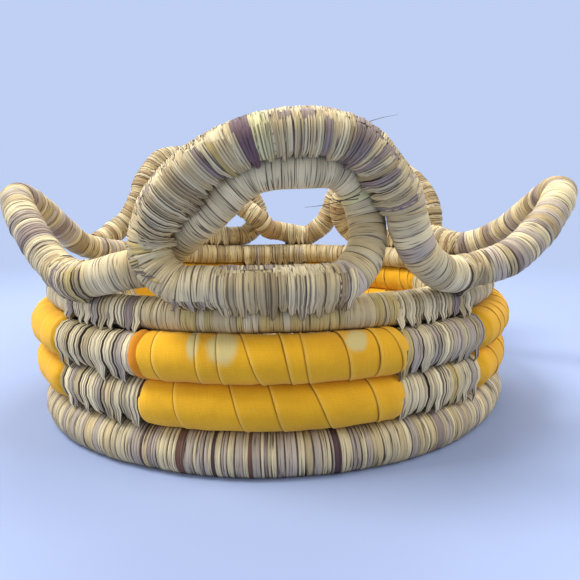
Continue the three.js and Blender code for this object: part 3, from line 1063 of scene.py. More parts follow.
class StitchPlan:
    """Finds where coils lie on each other and are stitched together."""

    COURSE_STRAY = 0.15
    RING_STRAY = 0.2
    RING_SAMPLES = 240
    RING_END = CurlPoint.LEAVING + 0.2
    FLOOR_SLACK = 5.0

    def __init__(self, path: CoilPath, seed: int) -> None:
        """Keeps the path and a seeded source of small differences."""
        self.path = path
        self.rng = np.random.default_rng(seed)

    def courses(self, course: int, start: float, end: float, spacing: float, inside: bool) -> list[Crossing]:
        """Stitches of a wall course onto the one below it.

        Args:
            course: the upper course.
            start: first azimuth.
            end: last azimuth.
            spacing: distance from stitch to stitch.
            inside: whether they show inside the basket.

        Returns:
            The crossings.
        """
        runs = np.arange(self.path.run_at(start, course), self.path.run_at(end, course), spacing)
        runs = runs + self.rng.uniform(-self.COURSE_STRAY, self.COURSE_STRAY, len(runs)) * spacing
        return [self._onto(run, self._below(run, course - 1), inside) for run in runs]

    def _below(self, run: float, course: float) -> tuple[Array, float]:
        """Centre and radius of the course below a place on the coil."""
        return self.path.seat_below(self.path.sample(np.array(run)).point, course)

    def _onto(self, run: float, lower: tuple[Array, float], inside: bool) -> Crossing:
        """The crossing from a place on the coil to another coil's centre.

        Args:
            run: the place on the coil.
            lower: the other coil's centre and radius.
            inside: whether it shows inside the basket.

        Returns:
            The crossing.
        """
        station = self.path.sample(np.array(run))
        face = -station.out if inside else station.out
        return Crossing(station.point, float(station.coil), *lower, station.ahead, face, run)

    def seats(self, middle: float, reach: float, spacing: float, slack: float) -> list[Crossing]:
        """Stitches that bind a loop to the rim on both sides, where it lies on the rim.

        Args:
            middle: length along the coil at the middle of the binding.
            reach: how far it may go to either side.
            spacing: distance from stitch to stitch.
            slack: widest gap between the coils that is bound.

        Returns:
            The crossings.
        """
        found = []
        for run in np.arange(middle - reach, middle + reach, spacing):
            lower, coil = self._below(run, Level.RIM)
            point = self.path.sample(np.array(run)).point
            gap = np.linalg.norm(point - lower) - coil - self.path.coils[Level.LOOPS]
            if gap < slack:
                found += [self._onto(run, (lower, coil), inside) for inside in (False, True)]
        return found

    def rings(self, loop: Loop, spacing: float, slack: float) -> list[Crossing]:
        """Stitches of a curl's outer pass onto its inner one, on both sides.

        Args:
            loop: the curl.
            spacing: distance from stitch to stitch.
            slack: widest gap between the passes that is stitched.

        Returns:
            The crossings.
        """
        first = self.path.curl_run(loop.name, CurlPoint.FIRST)
        seat = self.path.curl_run(loop.name, CurlPoint.RING_SEAT - 1)
        near = self.path.curl_run(loop.name, CurlPoint.NEAR_END)
        last = self.path.curl_run(loop.name, self.RING_END)
        centres = self.path.sample(np.linspace(first, seat, self.RING_SAMPLES)).point
        found = []
        for run in np.arange(near, last, spacing):
            run = run + self.rng.uniform(-self.RING_STRAY, self.RING_STRAY) * spacing
            point = self.path.sample(np.array(run)).point
            gaps = np.linalg.norm(centres - point, axis=1) - 2 * self.path.coils[Level.LOOPS]
            nearest = int(np.argmin(gaps))
            if gaps[nearest] < slack:
                lower = (centres[nearest], float(self.path.coils[Level.LOOPS]))
                found += [self._onto(run, lower, inside) for inside in (False, True)]
        return found

    def floor(self, spacing: float) -> list[Crossing]:
        """Stitches of each floor turn onto the turn inside it, on the upper side.

        Args:
            spacing: distance from stitch to stitch.

        Returns:
            The crossings.
        """
        path = self.path
        up = np.array([0.0, 0.0, 1.0])
        found = []
        first = np.interp(path.wall_turns[0] + 1.0, path.wall_turns, path.wall_run)
        for run in np.arange(first, path.run_at(path.sizes.climb_azimuth, 1), spacing):
            here = np.interp(run, path.wall_run, path.wall_turns)
            ring, height, coil = path.section(np.array(here - 1.0))
            upper = path.sample(np.array(run))
            lower = around(path.sizes.climb_azimuth + 360 * here, ring, height)
            if np.linalg.norm(lower - upper.point) < 2 * coil + self.FLOOR_SLACK:
                found.append(Crossing(upper.point, float(upper.coil), lower, float(coil), upper.ahead,
                                      up, run))
        return found


@dataclass
class ClothPanel:
    """A strip of cotton wound round the coil, each turn's folded edge lying on the turn before."""

    name: str
    node: str
    course: int
    start: float
    end: float
    seed: int
    pitch: float
    lap: float = 6.4
    fold: float = 0.5
    fold_turn: float = 0.7
    proud: float = 1.5
    end_round: float = 3.2
    end_depth: float = 1.6
    sits: float = 0.5
    steps: int = 52
    yellow: str = "efb41f"
    flap: float = 0.0
    flap_colour: str = "d98613"

    LIP = (0.25, 0.0, 0.02, 0.3)
    LIP_HEIGHTS = np.array([-0.62, -0.55, -0.25, 0.75, 1.0])
    UNDER = np.array([0, 0, 0, 0, 0, 0, 0.3, 0.3])
    # Painted light across each turn, column by column: below 0 a painted shadow beside the fold, above 0 a
    # painted highlight on the folded lip.
    FOLD_HIGHLIGHT_AND_SHADOW = np.array([-1.0, -1.0, -1.0, 0.4, 1.0, 0.2, 0.0, 0.0, 0.0, 0.0, -1.0, 0.0, 0.0])
    STRAYS = (2.2, 1.1)
    RUCKS = (0.16, 0.1)
    TURN_SHADE = (0.94, 1.05)
    FLAP_ANGLES = (-78, 74, 15)

    def _flap(self, path: CoilPath) -> Patch:
        """The folded end of the strip, standing on edge at the panel's start.

        Args:
            path: the whole coil.

        Returns:
            The grid.
        """
        angle = np.radians(np.linspace(*self.FLAP_ANGLES))[:, None]
        across = np.linspace(-0.5, 1.0, 6)[None, :] * self.flap
        place = path.run_at(self.start, self.course) + across + 0.5 * np.sin(2.2 * angle) + 0.4
        stations = path.sample(place)
        crest = 1.3 * np.cos(across / self.flap * 2.2) + 0.25 * np.sin(5 * angle)
        points = stations.around_coil(angle + 0 * across, stations.coil + self.proud * np.cos(angle) + crest)
        uv = np.stack(np.broadcast_arrays(angle * stations.coil.mean(), across), axis=-1) * MM
        colour = linear(self.flap_colour) * np.ones((angle.size - 1, across.size - 1, 1))
        return Patch(points, uv, colour, np.zeros(place.shape))

    def patch(self, path: CoilPath) -> Patch:
        """The strip as a grid, rows along it and columns across it.

        Args:
            path: the whole coil.

        Returns:
            The grid.
        """
        rng = np.random.default_rng(self.seed)
        first, last = path.run_at(self.start, self.course), path.run_at(self.end, self.course)
        turns = math.ceil((last - first) / self.pitch) + 2
        wound = np.linspace(0, turns * 2 * math.pi, turns * self.steps + 1)[:, None]
        starts = rng.uniform(0, 6, 2)

        def stray(turned: Array) -> Array:
            """How far the strip's edge strays along the coil."""
            slow, quick = self.STRAYS
            return slow * np.sin(0.37 * turned + starts[0]) + quick * np.sin(0.83 * turned + starts[1])

        edge = stray(wound)
        covered = self.pitch + stray(wound + 2 * math.pi) - edge
        whole = self.pitch + self.lap
        lip = np.array([self.fold_turn, *self.LIP])
        lip_height = self.LIP_HEIGHTS * self.fold
        # Columns go from the folded lip over the free width to what the next turn covers.
        free = 1.4 + (covered - 2.2) * np.linspace(0, 1, 5)
        flat = np.hstack([free, covered - 0.2, covered + 0.5, np.full(wound.shape, whole)])
        across = np.hstack([np.broadcast_to(lip, (wound.size, lip.size)), flat])
        fall = 1 - (flat - lip[-1]) / (whole - lip[-1])
        height = np.hstack([np.broadcast_to(lip_height, (wound.size, lip.size)),
                            self.fold * (fall ** 0.8) * 0.95 - 0.12 - self.UNDER])
        place = first - 1.5 * self.pitch + self.pitch * wound / (2 * math.pi) + edge + across
        angle = wound + math.pi + 0 * across
        run = np.clip(place, first, last)
        stations = path.sample(run)
        into = np.minimum(run - first, last - run)
        rounding = self.end_depth * np.clip(1 - into / self.end_round, 0, 1) ** 2
        phases = rng.uniform(0, 6, 4)
        pull = np.sin(0.55 * place + 2.0 * angle + phases[0]) * np.sin(1.3 * angle + phases[1])
        crinkle = np.sin(1.7 * place - 3 * angle + phases[2]) * np.sin(0.31 * place + phases[3])
        ruck = self.RUCKS[0] * pull + self.RUCKS[1] * crinkle
        bulge = self.proud * np.cos(angle)
        open_side = rounding < self.end_depth * 0.98
        reach = stations.coil + self.sits + height + ruck - rounding + bulge * open_side
        points = stations.around_coil(angle, reach)
        uv = np.stack(np.broadcast_arrays(wound * stations.coil.mean(), across), axis=-1) * MM
        shade = rng.uniform(*self.TURN_SHADE, turns * self.steps + 1)
        colour = linear(self.yellow) * np.ones((wound.size - 1, across.shape[1] - 1, 1))
        colour = colour * np.repeat(shade[::self.steps], self.steps)[:wound.size - 1, None, None]
        return Patch(points, uv, colour, np.broadcast_to(self.FOLD_HIGHLIGHT_AND_SHADOW, run.shape))

    def flat_size(self, path: CoilPath) -> tuple[float, float]:
        """The size of the cut strip.

        Args:
            path: the whole coil.

        Returns:
            Its width and length in metres.
        """
        length = path.run_at(self.end, self.course) - path.run_at(self.start, self.course)
        turns = length / self.pitch + 0.5
        coil = path.coils[self.course]
        return (self.pitch + self.lap + self.fold_turn) * MM, turns * 2 * math.pi * (coil + self.fold) * MM

    def build(self, path: CoilPath, finish: Material) -> Piece:
        """Makes the wound strip and puts it in place of its solid.

        Args:
            path: the whole coil.
            finish: the strip's material.

        Returns:
            The finished piece.
        """
        made = self.patch(path)
        centre = path.sample(np.array(path.run_at((self.start + self.end) / 2, self.course))).point
        outwards = made.points[made.points.shape[0] // 2, made.points.shape[1] // 2] - centre
        patches = [made.faced(outwards)]
        if self.flap:
            patches.append(self._flap(path).faced(outwards))
        piece = mesh_object(self.name, patches, closed=False)
        settle(piece, finish, "cloth", self.node)
        self.flat_size(path)
        return piece


@dataclass
class GrassBundle:
    """The bundle of stems inside the wrapping."""

    name: str = "grass_bundle"
    step: float = 8.0
    columns: int = 18
    stems: int = 6
    inset: float = 2.9
    margin: float = 0.5
    lobe: float = 0.35
    twist: float = 0.02
    uv_radius: float = 4.0
    straw: str = "b49a62"

    def build(self, path: CoilPath, finish: Material) -> Piece:
        """Makes the bundle and puts it in place of its solid.

        Args:
            path: the whole coil.
            finish: the stems' material.

        Returns:
            The finished piece.
        """
        last = path.end - self.margin
        run = np.append(np.arange(self.margin, last, self.step), last)[:, None]
        angle = np.linspace(0, 2 * math.pi, self.columns + 1)[None, :]
        stations = path.sample(run + 0 * angle)
        lobes = self.lobe * np.cos(self.stems * angle + self.twist * run)
        points = stations.around_coil(np.broadcast_to(angle, stations.coil.shape),
                                      stations.coil - self.inset + lobes)
        points[:, -1] = points[:, 0]
        uv = np.stack(np.broadcast_arrays(angle * self.uv_radius, run), axis=-1) * MM
        colour = np.broadcast_to(linear(self.straw), (run.size - 1, self.columns, 3))
        # Painted shade in the hollows between the stems.
        groove = np.broadcast_to(np.where(lobes < 0, 0.5, 0.0), stations.coil.shape)
        piece = mesh_object(self.name, [Patch(points, uv, colour, groove)], closed=True)
        return settle(piece, finish, "grass", "grass_core")


@dataclass(frozen=True)
class Sliver:
    """A loose leaf fibre: its root, its tip and how far it sags between them, in millimetres."""

    root: Triple
    tip: Triple
    sag: float
    thickness: float

    ROWS = 9
    COLUMNS = 5
    TAPER = 0.8
    UV_LENGTH = 10

    def patch(self, tone: LeafTone) -> Patch:
        """The fibre as a thin tube.

        Args:
            tone: its colour.

        Returns:
            The grid.
        """
        share = np.linspace(0, 1, self.ROWS)
        root, tip = np.array(self.root), np.array(self.tip)
        line = root + (tip - root) * share[:, None]
        line[:, 2] -= self.sag * np.sin(math.pi * share)
        ahead = unit(tip - root)
        side = unit(np.cross(ahead, (0, 0, 1)))
        angle = np.linspace(0, 2 * math.pi, self.COLUMNS)
        ring = np.cos(angle)[:, None] * side + np.sin(angle)[:, None] * np.cross(side, ahead)
        points = line[:, None] + (self.thickness * (1 - self.TAPER * share))[:, None, None] * ring
        points[:, -1] = points[:, 0]
        uv = np.stack(np.broadcast_arrays(angle[None, :], self.UV_LENGTH * share[:, None]), axis=-1) * MM
        colour = np.broadcast_to(linear(tone.value), (self.ROWS - 1, self.COLUMNS - 1, 3))
        return Patch(points, uv, colour, np.zeros((self.ROWS, self.COLUMNS)))


class Value:
    """A socket that can be used in Python expressions, which add Math nodes."""

    def __init__(self, nodes: "Nodes", socket: bpy.types.NodeSocket) -> None:
        """Wraps a socket of a node tree."""
        self.nodes = nodes
        self.socket = socket

    def _math(self, operation: str, *operands: Any) -> "Value":
        """The result of a Math node."""
        return self.nodes.get("ShaderNodeMath", 0, {"operation": operation}, dict(enumerate(operands)))

    def __add__(self, other: Any) -> "Value":
        """Sum."""
        return self._math("ADD", self, other)

    __radd__ = __add__

    def __sub__(self, other: Any) -> "Value":
        """Difference."""
        return self._math("SUBTRACT", self, other)

    def __rsub__(self, other: Any) -> "Value":
        """Difference from a number."""
        return self._math("SUBTRACT", other, self)

    def __mul__(self, other: Any) -> "Value":
        """Product."""
        return self._math("MULTIPLY", self, other)

    __rmul__ = __mul__

    def sine(self) -> "Value":
        """Sine of the value."""
        return self._math("SINE", self)

    def band(self, low: float, high: float) -> "Value":
        """0 below a low value, 1 above a high one, smooth between."""
        settings = {"interpolation_type": "SMOOTHSTEP"}
        return self.nodes.get("ShaderNodeMapRange", 0, settings, {0: self, 1: low, 2: high})


class Nodes:
    """A material's or world's node tree, filled by expressions."""

    def __init__(self, owner: bpy.types.ID) -> None:
        """Empties the owner's node tree.

        Args:
            owner: the material or world.
        """
        owner.use_nodes = True
        self.tree = owner.node_tree
        self.tree.nodes.clear()

    def add(self, kind: str, settings: dict[str, Any] | None = None,
            sockets: dict[Any, Any] | None = None) -> bpy.types.Node:
        """A new node.

        Args:
            kind: the node's type.
            settings: properties to set first.
            sockets: values or links of inputs, by name or index.

        Returns:
            The node.
        """
        node = self.tree.nodes.new(kind)
        for name, value in (settings or {}).items():
            setattr(node, name, value)
        for key, value in (sockets or {}).items():
            if isinstance(value, Value):
                self.tree.links.new(value.socket, node.inputs[key])
            else:
                node.inputs[key].default_value = value
        return node

    def get(self, kind: str, output: Any, settings: dict[str, Any] | None = None,
            sockets: dict[Any, Any] | None = None) -> Value:
        """One output of a new node."""
        return Value(self, self.add(kind, settings, sockets).outputs[output])

    def mix(self, share: Any, first: Any, second: Any, blend: str = "MIX") -> Value:
        """A colour between two colours, or blended from them."""
        settings = {"data_type": "RGBA", "blend_type": blend}
        return self.get("ShaderNodeMix", 2, settings, {0: share, 6: first, 7: second})

    def attribute(self, name: str, output: str) -> Value:
        """What the mesh holds under a name."""
        return self.get("ShaderNodeAttribute", output, {"attribute_name": name})

    def strip_noise(self, across: float, along: float, detail: float) -> Value:
        """Noise drawn out along a strip.

        Args:
            across: grain size across the strip in millimetres.
            along: grain size along it.
            detail: the noise's detail.

        Returns:
            A value round 0.5.
        """
        place = self.get("ShaderNodeUVMap", "UV", {"uv_map": "wrap"})
        size = (1 / (across * MM), 1 / (along * MM), 1.0)
        scaled = self.get("ShaderNodeMapping", 0, None, {"Vector": place, "Scale": size})
        return self.get("ShaderNodeTexNoise", 0, None, {"Vector": scaled, "Scale": 1.0, "Detail": detail})

    def cloud(self, size: float, detail: float) -> Value:
        """Even noise in space.

        Args:
            size: grain size in millimetres.
            detail: the noise's detail.

        Returns:
            A value round 0.5.
        """
        place = self.get("ShaderNodeTexCoord", "Object")
        return self.get("ShaderNodeTexNoise", 0, None,
                        {"Vector": place, "Scale": 1 / (size * MM), "Detail": detail})

    def surface(self, colour: Value, roughness: Value, height: Value, bump: float,
                constants: dict[str, Any]) -> None:
        """Ends the tree in a surface with a fine relief.

        Args:
            colour: base colour.
            roughness: roughness.
            height: relief from 0 to 1.
            bump: depth of the relief in millimetres.
            constants: values of the shader's other sockets.
        """
        relief = {"Strength": 1.0, "Distance": bump * MM, "Height": height}
        normal = self.get("ShaderNodeBump", 0, None, relief)
        links = {"Base Color": colour, "Roughness": roughness, "Normal": normal}
        shader = self.get("ShaderNodeBsdfPrincipled", 0, None, {**links, **constants})
        self.add("ShaderNodeOutputMaterial", None, {"Surface": shader})


@dataclass(frozen=True)
class LeafFinish:
    """Dry split leaf: fine fibres along each strip, darker flecks, and painted shade in grooves, slits and
    seams.
    """

    name: str
    painted_shade_colour: Colour = (0.045, 0.03, 0.026, 1.0)
    painted_shade_strength: float = 0.92
    hairline_strength: float = 0.85
    hairline_colour: Colour = (0.07, 0.045, 0.04, 1.0)
    relief: float = 0.16
    fibre: Triple = (0.16, 7.0, 3.0)
    streak: Triple = (0.6, 14.0, 2.0)
    hairline: Triple = (0.45, 16.0, 1.0)
    hairline_band: tuple[float, float] = (0.55, 0.64)
    fading: tuple[float, float] = (8.0, 1.0)
    fading_band: tuple[float, float] = (0.34, 0.6)
    patchy: tuple[float, float] = (14.0, 2.0)
    painted_shade_band: tuple[float, float] = (0.12, 0.85)

    def material(self) -> Material:
        """The finish as a material.

        Returns:
            The material.
        """
        made = bpy.data.materials.new(self.name)
        nodes = Nodes(made)
        fibre = nodes.strip_noise(*self.fibre)
        streak = nodes.strip_noise(*self.streak)
        patchy = nodes.cloud(*self.patchy)
        tone = 0.6 + 0.5 * fibre + 0.3 * streak + 0.2 * (patchy - 0.5)
        colour = nodes.mix(1.0, nodes.attribute("strip_colour", "Color"), tone, "MULTIPLY")
        fading = nodes.cloud(*self.fading).band(*self.fading_band)
        hairlines = nodes.strip_noise(*self.hairline).band(*self.hairline_band)
        colour = nodes.mix(hairlines * fading * self.hairline_strength, colour, self.hairline_colour)
        # Painted shade in slits, grooves, stitch edges and where coils touch, read from the groove attribute.
        gap = nodes.attribute("groove", "Fac").band(*self.painted_shade_band) * self.painted_shade_strength
        colour = nodes.mix(gap, colour, self.painted_shade_colour)
        rough = 0.46 + 0.3 * fibre
        nodes.surface(colour, rough, 0.6 * fibre + 0.4 * streak, self.relief, {"Specular IOR Level": 0.4})
        return made


@dataclass(frozen=True)
class Spot:
    """A pale spot in the dye, by its middle and its half sizes in millimetres."""

    middle: Triple
    half: Triple
    ragged: float = 0.5
    edge: tuple[float, float] = (0.9, 1.5)

    def share(self, nodes: Nodes) -> Value:
        """1 inside the spot, 0 outside it, with an uneven edge.

        Args:
            nodes: the node tree that reads it.

        Returns:
            The value.
        """
        place = nodes.get("ShaderNodeTexCoord", "Object")
        size = tuple(1 / (half * MM) for half in self.half)
        start = tuple(-middle / half for middle, half in zip(self.middle, self.half))
        scaled = nodes.get("ShaderNodeMapping", 0, None, {"Vector": place, "Location": start, "Scale": size})
        distance = nodes.get("ShaderNodeVectorMath", "Value", {"operation": "LENGTH"}, {0: scaled})
        return 1 - (distance + self.ragged * nodes.cloud(5.0, 2.0)).band(*self.edge)


SPOTS = (
    Spot((-14.2, -119, 50), (5.6, 9, 5.6)),
    Spot((-25, -117, 51), (2.4, 9, 6)),
    Spot((-118, -28, 48), (8, 8, 6)),
    Spot((33.5, -117, 52), (4.2, 9, 4.4)),
)


@dataclass(frozen=True)
class ClothFinish:
    """Plain-weave cotton: fine thread relief, uneven dye, pale blotches, painted highlights on the folds and
    painted shadows beside them.
    """

    name: str
    spots: tuple[Spot, ...] = SPOTS
    thread: float = 0.46
    pale: Colour = (0.62, 0.56, 0.26, 1.0)
    deep: Colour = (0.62, 0.3, 0.01, 1.0)
    fold_painted_highlight: Colour = (0.95, 0.72, 0.2, 1.0)
    fold_painted_shadow: Colour = (0.2, 0.075, 0.004, 1.0)
    deep_share: float = 0.45
    blotch_share: float = 0.7
    blotch_band: tuple[float, float] = (0.74, 0.78)
    spot_share: float = 0.8
    painted_highlight_share: float = 0.22
    painted_shadow_share: float = 0.65
    relief: float = 0.12

    def material(self) -> Material:
        """The finish as a material.

        Returns:
            The material.
        """
        made = bpy.data.materials.new(self.name)
        nodes = Nodes(made)
        place = nodes.get("ShaderNodeUVMap", "UV", {"uv_map": "wrap"})
        split = nodes.add("ShaderNodeSeparateXYZ", None, {0: place})
        count = 2 * math.pi / (self.thread * MM)
        warp = (Value(nodes, split.outputs[0]) * count).sine()
        weft = (Value(nodes, split.outputs[1]) * count).sine()
        weave = 0.5 + 0.25 * warp + 0.25 * weft
        slub = nodes.strip_noise(6.0, 0.5, 3.0)
        dye = nodes.cloud(16.0, 3.0)
        tone = 0.78 + 0.16 * weave + 0.22 * slub
        colour = nodes.mix(1.0, nodes.attribute("strip_colour", "Color"), tone, "MULTIPLY")
        colour = nodes.mix((1 - dye.band(0.3, 0.66)) * self.deep_share, colour, self.deep)
        blotches = nodes.cloud(19.0, 1.0).band(*self.blotch_band)
        colour = nodes.mix(blotches * self.blotch_share, colour, self.pale)
        for spot in self.spots:
            colour = nodes.mix(spot.share(nodes) * self.spot_share, colour, self.pale)
        # Painted highlights on the folded lips and painted shadows beside them.
        fold = nodes.attribute("groove", "Fac")
        colour = nodes.mix(fold.band(0.0, 1.0) * self.painted_highlight_share, colour, self.fold_painted_highlight)
        colour = nodes.mix((0.0 - fold).band(0.0, 1.0) * self.painted_shadow_share, colour, self.fold_painted_shadow)
        rough = 0.78 + 0.14 * slub
        constants = {"Specular IOR Level": 0.25, "Sheen Weight": 0.12, "Sheen Roughness": 0.5}
        nodes.surface(colour, rough, 0.7 * weave + 0.3 * slub, self.relief, constants)
        return made


@dataclass(frozen=True)
class Lamp:
    """A soft square lamp, in metres and watts."""

    name: str
    place: Triple
    size: float
    power: float
    colour: Triple
    aim: Triple = (0.0, 0.0, 0.05)

    def build(self) -> None:
        """Makes the lamp and aims it at the basket."""
        data = bpy.data.lights.new(self.name, "AREA")
        data.size, data.energy, data.color = self.size, self.power, self.colour
        made = bpy.data.objects.new(self.name, data)
        made.location = self.place
        made.rotation_mode = "QUATERNION"
        made.rotation_quaternion = (Vector(self.aim) - Vector(self.place)).to_track_quat("-Z", "Y")
        bpy.context.scene.collection.objects.link(made)


LAMPS = (
    Lamp("key", (-0.7, -0.1, 1.2), 0.5, 17.5, (1.0, 0.965, 0.91)),
    Lamp("fill", (0.95, -0.25, 1.0), 0.7, 8.5, (1.0, 0.96, 0.9)),
    Lamp("side", (-1.1, -0.3, 0.4), 0.7, 3.0, (1.0, 0.97, 0.93)),
    Lamp("back", (0.1, 0.8, 1.2), 0.7, 11.5, (1.0, 0.975, 0.94)),
)


@dataclass(frozen=True)
class Studio:
    """A pale floor, soft lamps and a camera at the photograph's viewpoint."""

    picture: float = 580.0
    focal: float = 560.0
    sensor: float = 36.0
    camera: Triple = (9.6, -309.0, 103.1)
    pitch: float = 0.171
    roll: float = -0.011
    backdrop: Colour = (0.52, 0.63, 0.9, 1.0)
    floor_colour: Colour = (0.3, 0.375, 0.6, 1.0)
    floor_radius: float = 4.0
    floor_corners: int = 96
    floor_fade: tuple[float, float] = (0.22, 0.75)
    clip_start: float = 0.01
    sky: Colour = (1.0, 0.98, 0.955, 1.0)
    sky_strength: float = 0.6
    lamps: tuple[Lamp, ...] = LAMPS

    def build(self) -> None:
        """Makes the floor, the lamps, the world and the camera."""
        self._camera()
        self._floor()
        self._world()
        for lamp in self.lamps:
            lamp.build()
        bpy.context.scene.view_settings.view_transform = "Standard"

    def _camera(self) -> None:
        """The camera, which looks along +Y, pitched down and slightly rolled."""
        data = bpy.data.cameras.new("camera")
        data.sensor_fit = "HORIZONTAL"
        data.sensor_width = self.sensor
        data.lens = self.sensor * self.focal / self.picture
        data.clip_start = self.clip_start
        ahead = Vector((0, math.cos(self.pitch), -math.sin(self.pitch)))
        up = Vector((0, math.sin(self.pitch), math.cos(self.pitch)))
        right = Vector((1, 0, 0))
        tilted_right = right * math.cos(self.roll) + up * math.sin(self.roll)
        tilted_up = up * math.cos(self.roll) - right * math.sin(self.roll)
        turn = Matrix((tilted_right, tilted_up, -ahead)).transposed()
        made = bpy.data.objects.new("camera", data)
        made.matrix_world = Matrix.Translation(Vector(self.camera) * MM) @ turn.to_4x4()
        bpy.context.scene.collection.objects.link(made)
        bpy.context.scene.camera = made

    def _floor(self) -> None:
        """A wide floor that fades into the backdrop's colour away from the basket."""
        shape = bmesh.new()
        bmesh.ops.create_circle(shape, cap_ends=True, segments=self.floor_corners, radius=self.floor_radius)
        mesh = bpy.data.meshes.new("floor")
        shape.to_mesh(mesh)
        shape.free()
        floor = bpy.data.objects.new("floor", mesh)
        bpy.context.scene.collection.objects.link(floor)
        made = bpy.data.materials.new("floor_paper")
        nodes = Nodes(made)
        place = nodes.get("ShaderNodeTexCoord", "Object")
        distance = nodes.get("ShaderNodeVectorMath", "Value", {"operation": "LENGTH"}, {0: place})
        seen = nodes.get("ShaderNodeLightPath", "Is Camera Ray")
        paper = nodes.get("ShaderNodeBsdfPrincipled", 0, None,
                          {"Base Color": self.floor_colour, "Roughness": 0.8, "Specular IOR Level": 0.1})
        glow = nodes.get("ShaderNodeEmission", 0, None, {"Color": self.backdrop})
        share = distance.band(*self.floor_fade) * seen
        both = nodes.get("ShaderNodeMixShader", 0, None, {0: share, 1: paper, 2: glow})
        nodes.add("ShaderNodeOutputMaterial", None, {"Surface": both})
        mesh.materials.append(made)
        floor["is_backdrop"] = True

    def _world(self) -> None:
        """Even light from all round, with the backdrop's colour where the camera sees it."""
        world = bpy.data.worlds.new("studio")
        bpy.context.scene.world = world
        nodes = Nodes(world)
        path = nodes.add("ShaderNodeLightPath")
        seen = Value(nodes, path.outputs["Is Camera Ray"]) + Value(nodes, path.outputs["Is Transmission Ray"])
        light = nodes.get("ShaderNodeBackground", 0, None, {"Color": self.sky, "Strength": self.sky_strength})
        pale = nodes.get("ShaderNodeBackground", 0, None, {"Color": self.backdrop, "Strength": 1.0})
        both = nodes.get("ShaderNodeMixShader", 0, None, {0: seen, 1: light, 2: pale})
        nodes.add("ShaderNodeOutputWorld", None, {"Surface": both})


@dataclass(frozen=True)
class Course:
    """A patterned course: its level and name, the cloth that shows for each turn, and its pieces' seeds."""

    level: Level
    name: str
    pitch: float
    panel_seed: int
    strip_seed: int


COURSES = (
    Course(Level.SECOND, "second_course", 16.4, 100, 150),
    Course(Level.THIRD, "third_course", 10.4, 200, 250),
)


